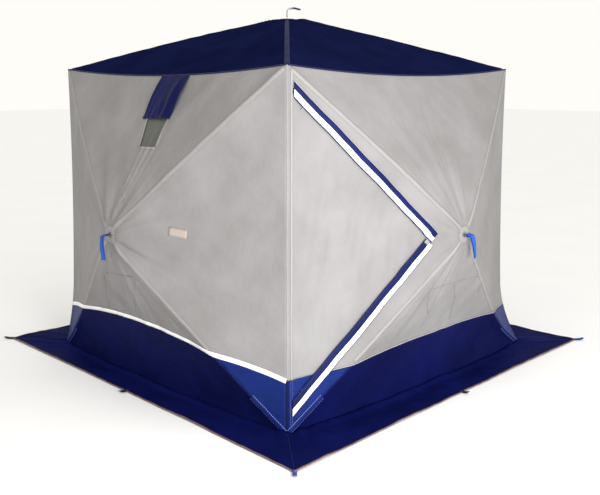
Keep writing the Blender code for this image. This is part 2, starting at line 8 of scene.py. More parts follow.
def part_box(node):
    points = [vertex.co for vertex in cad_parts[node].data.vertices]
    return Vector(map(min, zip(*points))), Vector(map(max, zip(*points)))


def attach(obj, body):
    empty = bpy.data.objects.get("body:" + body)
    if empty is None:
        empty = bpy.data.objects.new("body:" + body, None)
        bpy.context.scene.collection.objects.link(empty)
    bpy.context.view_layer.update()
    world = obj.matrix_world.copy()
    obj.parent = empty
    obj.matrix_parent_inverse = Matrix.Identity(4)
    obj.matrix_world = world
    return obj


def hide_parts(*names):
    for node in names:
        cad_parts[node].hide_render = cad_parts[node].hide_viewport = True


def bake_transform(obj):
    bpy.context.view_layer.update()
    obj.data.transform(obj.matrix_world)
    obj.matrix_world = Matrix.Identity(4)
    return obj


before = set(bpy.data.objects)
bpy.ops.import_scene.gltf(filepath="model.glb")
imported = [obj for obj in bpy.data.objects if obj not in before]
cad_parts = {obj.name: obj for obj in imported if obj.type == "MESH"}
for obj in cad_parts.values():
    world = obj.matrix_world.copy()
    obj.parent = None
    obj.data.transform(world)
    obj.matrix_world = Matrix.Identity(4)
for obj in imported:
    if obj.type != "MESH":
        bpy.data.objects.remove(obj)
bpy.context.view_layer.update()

# Studio. A pale matt floor under soft lights, and a camera at standing eye height that looks a little
# down at the corner between the vent wall and the door wall.
EYE = Vector((-3.722, -3.722, 1.71))
LOOK_DOWN = 4.0
FLOOR_SIZE = 90.0


def linear(colour):
    """An sRGB hex colour as linear red, green, blue and a full alpha."""
    shares = [int(colour[i : i + 2], 16) / 255 for i in (1, 3, 5)]
    return (*[s / 12.92 if s <= 0.04045 else ((s + 0.055) / 1.055) ** 2.4 for s in shares], 1.0)


def add(material, kind, settings=None, links=None):
    """Adds a node with its settings, its inputs' values and the sockets that feed its inputs."""
    tree = material.node_tree
    node = tree.nodes.new(kind)
    for key, value in (settings or {}).items():
        if isinstance(key, str) and hasattr(node, key):
            setattr(node, key, value)
        else:
            node.inputs[key].default_value = value
    for key, source in (links or {}).items():
        tree.links.new(source, node.inputs[key])
    return node


def new_material(name, **shader_values):
    """A material with one Principled shader, and that shader."""
    material = bpy.data.materials.new(name)
    material.use_nodes = True
    shader = material.node_tree.nodes["Principled BSDF"]
    for key, value in shader_values.items():
        shader.inputs[key.replace("_", " ")].default_value = value
    return material, shader


def new_piece(name, bm, material):
    """Makes the mesh a piece of that name and finish."""
    mesh = bpy.data.meshes.new(name)
    bm.to_mesh(mesh)
    bm.free()
    mesh.materials.append(material)
    mesh.shade_smooth()
    piece = bpy.data.objects.new(name, mesh)
    bpy.context.scene.collection.objects.link(piece)
    return piece


matt_floor, floor_shader = new_material("matt_studio_floor", Roughness=0.9, Specular_IOR_Level=0.1)
floor_at = add(matt_floor, "ShaderNodeTexCoord").outputs["Object"]
floor_dust = add(matt_floor, "ShaderNodeTexNoise", {"Scale": 1.5, "Detail": 4.0}, {"Vector": floor_at})
floor_mix = add(
    matt_floor, "ShaderNodeMix", {"data_type": "RGBA", 6: linear("#f4f4f4"), 7: linear("#fafafa")},
    {"Factor": floor_dust.outputs["Fac"]},
)
matt_floor.node_tree.links.new(floor_mix.outputs[2], floor_shader.inputs["Base Color"])
floor_mesh = bmesh.new()
bmesh.ops.create_grid(floor_mesh, x_segments=2, y_segments=2, size=FLOOR_SIZE / 2)
bmesh.ops.translate(floor_mesh, vec=(0, 0, -0.001), verts=floor_mesh.verts)
floor = new_piece("studio_floor", floor_mesh, matt_floor)

world = bpy.data.worlds.new("soft_white_studio")
world.use_nodes = True
world.node_tree.nodes["Background"].inputs["Color"].default_value = linear("#fffdf8")
world.node_tree.nodes["Background"].inputs["Strength"].default_value = 1.0
bpy.context.scene.world = world
bpy.context.scene.view_settings.view_transform = "Standard"


def soft_light(name, place, aim, size, power):
    """A square area light at place that points at aim."""
    lamp = bpy.data.lights.new(name, "AREA")
    lamp.size = size
    lamp.energy = power
    light = bpy.data.objects.new(name, lamp)
    light.matrix_world = Matrix.Translation(place) @ (Vector(aim) - Vector(place)).to_track_quat(
        "-Z", "Y"
    ).to_matrix().to_4x4()
    bpy.context.scene.collection.objects.link(light)


soft_light("key_light", (-2.2, -4.3, 1.35), (0, 0, 0.8), 1.4, 185)

lens = bpy.data.cameras.new("standing_eye")
lens.sensor_width = 36
lens.lens = 48.66
lens.shift_x = 0.0217
lens.shift_y = -0.179
camera = bpy.data.objects.new("standing_eye", lens)
camera.matrix_world = Matrix.Translation(EYE) @ Matrix.Rotation(math.radians(-45), 4, "Z") @ Matrix.Rotation(
    math.radians(90 - LOOK_DOWN), 4, "X"
)
bpy.context.scene.collection.objects.link(camera)
bpy.context.scene.camera = camera

# Wall panels. Each is four triangles of coated grey polyester sewn together along the rod pockets
# and pulled taut into a low pyramid by the hub and rods inside it. The door's and the vent's
# openings are cut out of the front and the left one.
SEAM = 0.0025  # from a face's corner edge to the edge of its solid
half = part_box("roof_fabric")[1].x + SEAM
corner_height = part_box("right_wall_fabric")[1].z + SEAM
wall_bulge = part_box("right_wall_fabric")[1].x - half
roof_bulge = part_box("roof_fabric")[1].z - corner_height
CROWN = 0.060  # half the flat middle of a face, over its hub
EDGE_BOW = 0.012  # how far a free edge between two corner joints is pulled in
ROOF_DIP = 0.046  # how far the roof's edge is pulled down at its middle
FOOT_BOW = 0.050  # how far a wall's foot stands out at its middle
FOOT_FLARE = {(-1, -1): 0.004, (1, -1): 0.085, (1, 1): 0.055, (-1, 1): 0.032}  # of each corner's foot
FLARE_HEIGHT = 0.42  # from the ground up to where the flare starts
CLOTH_SAG = 0.016
ROD_BOW = 0.014
CLOTH_STEP = 0.0125  # between the cloth's points
CLOTH = 0.0012  # its thickness


class Face:
    """A face of the cube: across, up and out of it, and the size it has."""

    def __init__(self, name, across, out, seed):
        self.name = name
        self.roof = name == "roof"
        self.across, self.out = Vector(across), Vector(out)
        self.up = self.out.cross(self.across)
        self.half_up = half if self.roof else corner_height / 2
        self.bulge = roof_bulge if self.roof else wall_bulge
        height = corner_height if self.roof else corner_height / 2
        self.middle = Vector((0, 0, height)) if self.roof else self.out * half + Vector((0, 0, height))
        self.seed = seed
        feet = [self.out + self.across * side for side in (-1, 1)]
        self.flares = [0.0 if self.roof else FOOT_FLARE[(round(foot.x), round(foot.y))] for foot in feet]


faces = {
    "front": Face("front", (1, 0, 0), (0, -1, 0), 1),
    "right": Face("right", (0, 1, 0), (1, 0, 0), 2),
    "back": Face("back", (-1, 0, 0), (0, 1, 0), 3),
    "left": Face("left", (0, -1, 0), (-1, 0, 0), 4),
    "roof": Face("roof", (1, 0, 0), (0, 0, 1), 5),
}
walls = [face for name, face in faces.items() if name != "roof"]


def rounded_min(a, b, round_over):
    """The smaller of two numbers, rounded where they are near each other."""
    if round_over <= 0:
        return min(a, b)
    near = max(round_over - abs(a - b), 0) / round_over
    return min(a, b) - near * near * round_over / 4


def clamp(value, low=0.0, high=1.0):
    return max(low, min(high, value))


def creases(face, x, y, rise, off_rod):
    """The small folds of taut cloth: they run to the hub, along the rods and over the open middle."""
    reach = math.hypot(x, y)
    turn = math.atan2(y, x)
    fade = clamp(rise / 0.08) * clamp((reach - 0.055) / 0.06)
    spokes = math.sin(11 * turn + face.seed) + 0.7 * math.sin(23 * turn + 2.3 * face.seed)
    spokes += 0.5 * math.sin(37 * turn + face.seed * 5.1)
    near_hub = math.exp(-(((reach - 0.10) / 0.17) ** 2))
    fan = noise.noise(Vector((math.cos(turn) * 5, math.sin(turn) * 5, reach * 1.1 + face.seed)))
    fine_fan = noise.noise(Vector((math.cos(turn) * 15, math.sin(turn) * 15, reach * 2.0 + face.seed)))
    cloud = noise.noise(Vector((x * 2.6, y * 2.6, face.seed * 7.3)))
    pull = noise.noise(Vector(((x + y) * 9, (x - y) * 1.6, face.seed * 3.1)))
    pull += noise.noise(Vector(((x - y) * 9, (x + y) * 1.6, face.seed * 4.7)))
    depth = 0.0022 * spokes * near_hub
    depth += 0.0110 * fan * math.exp(-reach * 1.1) + 0.0060 * fine_fan * math.exp(-reach * 1.9)
    depth += 0.0080 * cloud * off_rod + 0.0030 * pull
    if face.name == "left" and y > 0:  # the cloth between the vent and the hub is drawn into pleats
        toward_vent = math.exp(-(((turn - 1.36) / 0.15) ** 2)) * clamp((0.62 - y) / 0.12)
        depth += 0.0042 * math.sin(turn * 62) * toward_vent * clamp(reach / 0.18)
    return depth * fade


def on_cloth(face, x, y, folds=1.0):
    """Where the point x across and y up a face lies on its taut cloth."""
    share_x, share_y = abs(x) / half, abs(y) / face.half_up
    from_side = (half - abs(x)) / (half - CROWN)
    from_end = (face.half_up - abs(y)) / (face.half_up - CROWN)
    least = min(from_side, from_end)
    ridge = 0.05 * clamp(least / 0.12) * clamp((1 - least) / 0.15)
    rise = rounded_min(rounded_min(from_side, from_end, ridge), 1, 0.02)
    depth = face.bulge * rise
    most = max(from_side, from_end, 1e-6)
    off_rod = clamp((most - least) / most) if least > -0.001 else 1.0
    off_rod = off_rod if least < 1 else 0.0
    pull = off_rod * off_rod
    along, upward = x, y
    if from_side < from_end:
        shape = (1 - share_y * share_y) * pull
        along -= 0.0 if face.roof else math.copysign(EDGE_BOW * shape, x)
        depth -= (ROOF_DIP if face.roof else EDGE_BOW) * shape
    else:
        shape = (1 - share_x * share_x) * pull
        if face.roof:
            depth -= ROOF_DIP * shape
        elif y > 0:
            upward -= ROOF_DIP * shape
        else:
            depth += FOOT_BOW * shape
    if not face.roof:
        low = clamp((FLARE_HEIGHT - face.half_up - y) / FLARE_HEIGHT) ** 2
        side = (clamp(x / half, -1.0, 1.0) + 1) / 2
        flare = low * (face.flares[0] + (face.flares[1] - face.flares[0]) * side)
        along += clamp(x / half, -1.0, 1.0) * flare
        depth += flare * (1 - clamp(rise))
    middle = 4 * clamp(rise) * (1 - clamp(rise))
    depth -= CLOTH_SAG * middle * off_rod
    depth += ROD_BOW * middle * (1 - off_rod) ** 2
    if folds:
        depth += folds * creases(face, x, y, rise, off_rod)
    return face.middle + face.across * along + face.up * upward + face.out * depth


def outward(face, x, y):
    """The direction straight out of a face's cloth at x and y, without its small folds."""
    step = 0.004
    here = on_cloth(face, x, y, 0)
    side = on_cloth(face, x + step, y, 0) - here
    above = on_cloth(face, x, y + step, 0) - here
    return side.cross(above).normalized()


def laid_on(face, x, y, proud):
    return on_cloth(face, x, y) + outward(face, x, y) * proud


def stretch_to_hub(piece):
    """Bakes the piece's placement into its mesh."""
    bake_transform(piece)


def cut_along(bm, point, normal):
    """Cuts the flat mesh along a line given by a point on it and the direction across it."""
    geometry = [*bm.verts, *bm.edges, *bm.faces]
    bmesh.ops.bisect_plane(
        bm, geom=geometry, dist=1e-5, plane_co=(*point, 0), plane_no=(*normal, 0)
    )


def cut_outline(bm, outline, keep=False):
    """Cuts a convex opening out of the flat mesh, or keeps only it. The outline runs anticlockwise."""
    sides = []
    for start, end in zip(outline, outline[1:] + outline[:1]):
        normal = (end[1] - start[1], start[0] - end[0])
        cut_along(bm, start, normal)
        sides.append((start, normal))
    cut = []
    for flat_face in bm.faces:
        centre = flat_face.calc_center_median()
        inside = all((centre.x - s[0]) * n[0] + (centre.y - s[1]) * n[1] < 0 for s, n in sides)
        if inside != keep:
            cut.append(flat_face)
    bmesh.ops.delete(bm, geom=cut, context="FACES")


def flat_cloth(low, high, top_line=None, bottom_line=None):
    """A flat grid from low to high, whose top and bottom may follow lines given as height at x."""
    columns = max(2, round((high[0] - low[0]) / CLOTH_STEP))
    rows = max(2, round((high[1] - low[1]) / CLOTH_STEP))
    bm = bmesh.new()
    bmesh.ops.create_grid(bm, x_segments=columns, y_segments=rows, size=0.5)
    for vert in bm.verts:
        x = low[0] + (vert.co.x + 0.5) * (high[0] - low[0])
        bottom = bottom_line(x) if bottom_line else low[1]
        top = top_line(x) if top_line else high[1]
        vert.co = (x, bottom + (vert.co.y + 0.5) * (top - bottom), 0)
    return bm


def raise_on(bm, face):
    """Lays the flat mesh on a face's cloth."""
    for vert in bm.verts:
        vert.co = on_cloth(face, vert.co.x, vert.co.y)


def with_weave_map(bm):
    """Keeps each point's flat place, in metres, as the cloth's own map."""
    layer = bm.loops.layers.uv.new("cut")
    for cloth_face in bm.faces:
        for loop in cloth_face.loops:
            loop[layer].uv = (loop.vert.co.x, loop.vert.co.y)


def facing(bm, out):
    """Turns a sheet's faces the way that out points."""
    bmesh.ops.recalc_face_normals(bm, faces=bm.faces)
    if sum(sheet_face.normal.dot(out) for sheet_face in bm.faces) < 0:
        bmesh.ops.reverse_faces(bm, faces=bm.faces)


def thicken(piece, thickness, offset=-1.0):
    modifier = piece.modifiers.new("thickness", "SOLIDIFY")
    modifier.thickness = thickness
    modifier.offset = offset
    return piece


def cloth_area(bm):
    return sum(cloth_face.calc_area() for cloth_face in bm.faces)


def woven(name, light, dark, roughness, thread=0.0045, crumple=0.35, gloss=0.2):
    """Coated woven cloth: a fine basket weave, drawn coarse enough to show, and soft crumpling."""
    material, shader = new_material(name, Roughness=roughness, Specular_IOR_Level=gloss)
    flat = add(material, "ShaderNodeUVMap", {"uv_map": "cut"}).outputs["UV"]
    place = add(material, "ShaderNodeTexCoord").outputs["Object"]
    waves = []
    for axis in ("X", "Y"):
        waves.append(
            add(
                material, "ShaderNodeTexWave",
                {"bands_direction": axis, "wave_profile": "SIN", "Scale": 0.314 / thread,
                 "Distortion": 0.25, "Detail": 1.0},
                {"Vector": flat},
            ).outputs["Fac"]
        )
    weave = add(material, "ShaderNodeMath", {"operation": "MULTIPLY"}, {0: waves[0], 1: waves[1]})
    blotch = add(
        material, "ShaderNodeTexNoise", {"Scale": 3.2, "Detail": 5.0, "Roughness": 0.55}, {"Vector": place}
    ).outputs["Fac"]
    ramp = add(material, "ShaderNodeValToRGB", links={"Fac": blotch})
    ramp.color_ramp.elements[0].position = 0.32
    ramp.color_ramp.elements[0].color = linear(dark)
    ramp.color_ramp.elements[1].position = 0.68
    ramp.color_ramp.elements[1].color = linear(light)
    shade = add(
        material, "ShaderNodeMix",
        {"data_type": "RGBA", "blend_type": "MULTIPLY", "Factor": 0.10, 7: (0.75, 0.75, 0.75, 1)},
        {6: ramp.outputs["Color"]},
    )
    thread_shade = add(
        material, "ShaderNodeMix", {"data_type": "RGBA", "blend_type": "MIX"},
        {"Factor": weave.outputs[0], 6: shade.outputs[2], 7: ramp.outputs["Color"]},
    )
    material.node_tree.links.new(thread_shade.outputs[2], shader.inputs["Base Color"])
    small = add(
        material, "ShaderNodeTexNoise", {"Scale": 22.0, "Detail": 6.0, "Roughness": 0.6}, {"Vector": place}
    ).outputs["Fac"]
    crumpled = add(
        material, "ShaderNodeBump", {"Strength": crumple, "Distance": 0.006}, {"Height": small}
    )
    threads = add(
        material, "ShaderNodeBump", {"Strength": 0.12, "Distance": 0.0006},
        {"Height": weave.outputs[0], "Normal": crumpled.outputs["Normal"]},
    )
    material.node_tree.links.new(threads.outputs["Normal"], shader.inputs["Normal"])
    return material


wall_polyester = woven("coated_grey_polyester", "#8e8c8d", "#817f7f", 0.58, crumple=0.6)
BAND_LINES = {  # the band's height at the corners and at the middle
    "left": (0.262, 0.398), "right": (0.262, 0.398), "front": (0.262, 0.322), "back": (0.262, 0.322),
}


def band_line(face):
    """The arched top of a wall's kick band, as height in the face at x across it."""
    at_corner, at_middle = BAND_LINES[face.name]
    return lambda x: at_corner + (at_middle - at_corner) * (1 - (x / half) ** 2) - face.half_up


DOOR_HEM = 0.020  # from the corner edge to the door
DOOR_REACH = 0.800  # from the corner edge to where the zips meet
door_edge = -half + SEAM + DOOR_HEM
door_apex = -half + SEAM + DOOR_REACH
door_corner = door_apex - door_edge
door_opening = [(door_edge, -door_corner), (door_apex, 0.0), (door_edge, door_corner)]

VENT_MIDDLE = 0.100  # across the vent wall, towards the door
VENT_TOP = 0.065  # down from the roof's edge to the opening
VENT_FOOT = 0.421
VENT_TOP_HALF = 0.1125
VENT_FOOT_HALF = 0.075
vent_opening = [
    (VENT_MIDDLE - VENT_FOOT_HALF, corner_height / 2 - VENT_FOOT),
    (VENT_MIDDLE + VENT_FOOT_HALF, corner_height / 2 - VENT_FOOT),
    (VENT_MIDDLE + VENT_TOP_HALF, corner_height / 2 - VENT_TOP),
    (VENT_MIDDLE - VENT_TOP_HALF, corner_height / 2 - VENT_TOP),
]

for wall in walls:
    line = band_line(wall)
    bm = flat_cloth((-half, -wall.half_up), (half, wall.half_up), bottom_line=line)
    if wall.name == "front":
        cut_outline(bm, door_opening)
    if wall.name == "left":
        cut_outline(bm, vent_opening)
    with_weave_map(bm)
    raise_on(bm, wall)
    facing(bm, wall.out)
    area = cloth_area(bm)
    cloth = new_piece(f"{wall.name}_wall_cloth", bm, wall_polyester)
    stretch_to_hub(cloth)
    thicken(cloth, CLOTH)
    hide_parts(f"{wall.name}_wall_fabric")

# Kick bands. A tougher navy strip runs round the foot of the walls, sewn to the wall panels along an
# arched seam and to the snow skirt at the ground.
kick_oxford = woven("coated_navy_oxford", "#0d134a", "#090d38", 0.55, thread=0.006, crumple=0.55, gloss=0.04)
for wall in walls:
    line = band_line(wall)
    bm = flat_cloth((-half, -wall.half_up), (half, 0.32 - wall.half_up), top_line=line)
    if wall.name == "front":
        cut_outline(bm, door_opening)
    with_weave_map(bm)
    raise_on(bm, wall)
    facing(bm, wall.out)
    area = cloth_area(bm)
    band = new_piece(f"{wall.name}_kick_band_cloth", bm, kick_oxford)
    stretch_to_hub(band)
    thicken(band, CLOTH)
    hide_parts(f"{wall.name}_kick_band")

# Roof panel. Four triangles of navy coated polyester over the roof's rods and hub. Its free edges
# dip between the corners, where the walls pull on them.
roof_polyester = woven("coated_navy_polyester", "#151b42", "#101536", 0.60, crumple=0.40, gloss=0.0)
bm = flat_cloth((-half, -half), (half, half))
with_weave_map(bm)
raise_on(bm, faces["roof"])
facing(bm, faces["roof"].out)
area = cloth_area(bm)
roof_cloth = new_piece("roof_cloth", bm, roof_polyester)
stretch_to_hub(roof_cloth)
thicken(roof_cloth, CLOTH)
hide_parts("roof_fabric")


# Rod pockets. A strip of the panel's own cloth is sewn flat over each seam between a face's
# triangles, with a row of lockstitch along both edges; inside it holds the rod to the seam.
def stitched_cloth(name, light, dark, thread_colour, rows=(0.12, 0.88), gloss=0.2, stitch=0.012):
    """Cloth whose map runs along and across a strip, with rows of stitches at those shares across.

    Real stitches are 3 mm long. These are drawn 12 mm long, so that they show."""
    material, shader = new_material(name, Roughness=0.6, Specular_IOR_Level=gloss)
    strip_map = add(material, "ShaderNodeUVMap", {"uv_map": "strip"}).outputs["UV"]
    parts = add(material, "ShaderNodeSeparateXYZ", links={"Vector": strip_map})
    place = add(material, "ShaderNodeTexCoord").outputs["Object"]
    blotch = add(material, "ShaderNodeTexNoise", {"Scale": 9.0, "Detail": 4.0}, {"Vector": place})
    ground = add(
        material, "ShaderNodeMix", {"data_type": "RGBA", 6: linear(dark), 7: linear(light)},
        {"Factor": blotch.outputs["Fac"]},
    ).outputs[2]
    lines = None
    for row in rows:
        off = add(material, "ShaderNodeMath", {"operation": "SUBTRACT", 1: row}, {0: parts.outputs["Y"]})
        size = add(material, "ShaderNodeMath", {"operation": "ABSOLUTE"}, {0: off.outputs[0]})
        near = add(
            material, "ShaderNodeMath", {"operation": "LESS_THAN", 1: 0.035}, {0: size.outputs[0]}
        )
        if lines is None:
            lines = near
        else:
            lines = add(
                material, "ShaderNodeMath", {"operation": "MAXIMUM"},
                {0: lines.outputs[0], 1: near.outputs[0]},
            )
    turns = add(material, "ShaderNodeMath", {"operation": "MULTIPLY", 1: 1 / stitch}, {0: parts.outputs["X"]})
    share = add(material, "ShaderNodeMath", {"operation": "FRACT"}, {0: turns.outputs[0]})
    dash = add(material, "ShaderNodeMath", {"operation": "LESS_THAN", 1: 0.7}, {0: share.outputs[0]})
    stitches = add(
        material, "ShaderNodeMath", {"operation": "MULTIPLY"}, {0: lines.outputs[0], 1: dash.outputs[0]}
    )
    coloured = add(
        material, "ShaderNodeMix", {"data_type": "RGBA", 7: linear(thread_colour)},
        {"Factor": stitches.outputs[0], 6: ground},
    )
    material.node_tree.links.new(coloured.outputs[2], shader.inputs["Base Color"])
    small = add(material, "ShaderNodeTexNoise", {"Scale": 60.0, "Detail": 4.0}, {"Vector": place})
    puckered = add(
        material, "ShaderNodeBump", {"Strength": 0.35, "Distance": 0.003}, {"Height": small.outputs["Fac"]}
    )
    sunk = add(
        material, "ShaderNodeBump", {"Strength": 0.5, "Distance": 0.001, "invert": True},
        {"Height": stitches.outputs[0], "Normal": puckered.outputs["Normal"]},
    )
    material.node_tree.links.new(sunk.outputs["Normal"], shader.inputs["Normal"])
    return material


def strip_grid(length, step, rows):
    """A flat strip with its map: along it in metres, and across it as a share."""
    columns = max(2, round(length / step))
    bm = bmesh.new()
    bmesh.ops.create_grid(bm, x_segments=columns, y_segments=rows, size=0.5)
    layer = bm.loops.layers.uv.new("strip")
    for strip_face in bm.faces:
        for loop in strip_face.loops:
            loop[layer].uv = ((loop.vert.co.x + 0.5) * length, loop.vert.co.y + 0.5)
    return bm


STRIP_ROW = 0.007  # between the rows of points across a strip


def strip_on(name, surface, line, length, width, material, proud=0.0006, thickness=0.0007):
    """A strip laid on a surface along a line of points (x, y).

    The surface gives a place from x, y and how proud of it a point is. Width may change along it."""
    bm = strip_grid(length, CLOTH_STEP, 4 if callable(width) else max(4, round(width / STRIP_ROW)))
    nudge = 0.002
    for vert in bm.verts:
        share, across = vert.co.x + 0.5, vert.co.y
        before, here, after = (Vector(line(clamp(share + d))) for d in (-nudge, 0, nudge))
        along = (after - before).normalized()
        wide = width(share) if callable(width) else width
        flat = here + Vector((-along.y, along.x)) * across * wide
        vert.co = surface(flat.x, flat.y, proud)
    facing(bm, surface(*line(0.5), 0.01) - surface(*line(0.5), 0.0))
    piece = new_piece(name, bm, material)
    return thicken(piece, thickness, 1.0)


def straight(start, end):
    start, end = Vector(start), Vector(end)
    return lambda share: start.lerp(end, share)


def on_face(face):
    return lambda x, y, proud: laid_on(face, x, y, proud)


RIDGES = {"top_left": (-1, 1), "top_right": (1, 1), "low_left": (-1, -1), "low_right": (1, -1)}
POCKET_WIDTH = 0.026
grey_pocket = stitched_cloth("stitched_grey_polyester", "#989695", "#8c8a88", "#76747a")
navy_pocket = stitched_cloth("stitched_navy_polyester", "#192049", "#14193d", "#0a0e2c", gloss=0.05)
navy_kick_pocket = stitched_cloth("stitched_navy_oxford", "#10164f", "#0b1040", "#070a30", gloss=0.08)


def ridge_point(face, sides, share):
    """A point on the seam from a face's corner to its flat middle."""
    corner = Vector((sides[0] * half, sides[1] * face.half_up))
    crown = Vector((sides[0] * CROWN, sides[1] * CROWN))
    return corner.lerp(crown, share)


def band_crossing(face, sides):
    """The share of the way along a lower ridge at which it leaves the kick band."""
    line = band_line(face)
    low, high = 0.0, 0.6
    for _ in range(24):
        middle = (low + high) / 2
        point = ridge_point(face, sides, middle)
        if point.y < line(point.x):
            low = middle
        else:
            high = middle
    return low


for face in faces.values():
    for place, sides in RIDGES.items():
        runs = [(0.02, 1.04, navy_pocket if face.roof else grey_pocket, "rod_pocket")]
        if not face.roof and sides[1] < 0:
            meets = band_crossing(face, sides)
            runs = [
                (0.02, meets - 0.020, navy_kick_pocket, "band_rod_pocket"),
                (meets + 0.016, 1.04, grey_pocket, "rod_pocket"),
            ]
        for start, end, material, kind in runs:
            low, high = ridge_point(face, sides, start), ridge_point(face, sides, end)
            pocket = strip_on(
                f"{face.name}_{kind}_{place}", on_face(face), straight(low, high), (high - low).length,
                POCKET_WIDTH, material,
            )
            stretch_to_hub(pocket)


# Corner bindings. The wall panels meet at the four upright edges in a bound seam: a pale polyester
# tape folded over the raw edges, which stands out as a thin cord. The roof's edge has a navy one.
def piping(name, points, radius, material):
    """A thin round cord sewn along a line of points."""
    line = bpy.data.curves.new(name, "CURVE")
    line.dimensions = "3D"
    line.bevel_depth = radius
    line.bevel_resolution = 2
    line.use_fill_caps = True
    spline = line.splines.new("POLY")
    spline.points.add(len(points) - 1)
    for place, point in zip(spline.points, points):
        place.co = (*point, 1)
    holder = bpy.data.objects.new(name, line)
    bpy.context.scene.collection.objects.link(holder)
    mesh = bpy.data.meshes.new_from_object(holder.evaluated_get(bpy.context.evaluated_depsgraph_get()))
    bpy.data.objects.remove(holder)
    mesh.name = name
    mesh.materials.clear()
    mesh.materials.append(material)
    mesh.shade_smooth()
    piece = bpy.data.objects.new(name, mesh)
    bpy.context.scene.collection.objects.link(piece)
    return piece


def cord_cloth(name, light, dark):
    """Narrow woven tape or piping: fine slanting ribs, and a little uneven colour."""
    material, shader = new_material(name, Roughness=0.55, Specular_IOR_Level=0.2)
    place = add(material, "ShaderNodeTexCoord").outputs["Object"]
    blotch = add(material, "ShaderNodeTexNoise", {"Scale": 40.0, "Detail": 4.0}, {"Vector": place})
    colour = add(
        material, "ShaderNodeMix", {"data_type": "RGBA", 6: linear(dark), 7: linear(light)},
        {"Factor": blotch.outputs["Fac"]},
    )
    material.node_tree.links.new(colour.outputs[2], shader.inputs["Base Color"])
    ribs = add(
        material, "ShaderNodeTexWave", {"bands_direction": "DIAGONAL", "Scale": 60.0, "Distortion": 0.6},
        {"Vector": place},
    )
    raised = add(
        material, "ShaderNodeBump", {"Strength": 0.4, "Distance": 0.0008}, {"Height": ribs.outputs["Fac"]}
    )
    material.node_tree.links.new(raised.outputs["Normal"], shader.inputs["Normal"])
    return material


pale_binding = cord_cloth("pale_polyester_binding", "#a3a1a1", "#949291")
navy_binding = cord_cloth("navy_polyester_binding", "#171d4c", "#10153a")
BINDING = 0.0024
turned = {"front": "front_right", "right": "back_right", "back": "back_left", "left": "front_left"}
for wall in walls:
    spots = [on_cloth(wall, half, -wall.half_up + corner_height * i / 60) for i in range(61)]
    low_line = band_line(wall)(half) + wall.half_up
    low = [point for point in spots if point.z <= low_line + 0.01]
    high = [point for point in spots if point.z >= low_line]
    binding = piping(f"corner_binding_{turned[wall.name]}", high, BINDING, pale_binding)
    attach(binding, "shelter")
    low_binding = piping(f"corner_band_binding_{turned[wall.name]}", low, BINDING, navy_binding)
    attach(low_binding, "shelter")
    edge = [on_cloth(wall, half * (i / 30 - 1), wall.half_up) for i in range(61)]
    roof_binding = piping(f"roof_binding_{wall.name}", edge, 0.0040, navy_binding)
    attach(roof_binding, "shelter")


# Band seams. White glass-bead reflective tape covers the seam above the kick band on the side
# walls, with a thin pale piping there on the door wall and the back wall.
def reflective(name, light, dark):
    """Glass-bead reflective tape: near white, faintly silvery, with a fine honeycomb pressed in it."""
    material, shader = new_material(name, Roughness=0.32, Coat_Weight=0.35, Coat_Roughness=0.2)
    place = add(material, "ShaderNodeTexCoord").outputs["Object"]
    cells = add(
        material, "ShaderNodeTexVoronoi", {"Scale": 160.0, "feature": "DISTANCE_TO_EDGE"}, {"Vector": place}
    )
    wide = add(material, "ShaderNodeTexNoise", {"Scale": 14.0, "Detail": 5.0}, {"Vector": place})
    colour = add(
        material, "ShaderNodeMix", {"data_type": "RGBA", 6: linear(dark), 7: linear(light)},
        {"Factor": wide.outputs["Fac"]},
    )
    material.node_tree.links.new(colour.outputs[2], shader.inputs["Base Color"])
    raised = add(
        material, "ShaderNodeBump", {"Strength": 0.25, "Distance": 0.0006},
        {"Height": cells.outputs["Distance"]},
    )
    material.node_tree.links.new(raised.outputs["Normal"], shader.inputs["Normal"])
    return material


white_tape = reflective("white_reflective_tape", "#fbfbfb", "#eeeef0")
TAPE_WIDTH = 0.024
TAPE_LENGTH = 2.1


def along_band(line, ends):
    """The points of the band's arched seam between two places across the wall."""
    def point(share):
        x = ends[0] + (ends[1] - ends[0]) * share
        return x, line(x)

    return point


for wall in walls:
    line = band_line(wall)
    ends = (-half + 0.004, half - 0.004)
    if wall.name == "front":
        ends = (door_edge + 0.003, half - 0.004)
    if wall.name in ("left", "right"):
        tape = strip_on(
            f"{wall.name}_band_tape", on_face(wall), along_band(line, ends), TAPE_LENGTH, TAPE_WIDTH,
            white_tape, proud=0.0016,
        )
        stretch_to_hub(tape)
        continue
    if wall.name == "front":
        meet = max(x / 400 for x in range(-400, 0) if line(x / 400) > x / 400 - door_apex)
        ends = (meet + 0.004, half - 0.004)
    places = [ends[0] + (ends[1] - ends[0]) * i / 80 for i in range(81)]
    points = [laid_on(wall, x, line(x), 0.0008) for x in places]
    seam_piping = piping(f"{wall.name}_band_piping", points, 0.0028, pale_binding)
    stretch_to_hub(seam_piping)

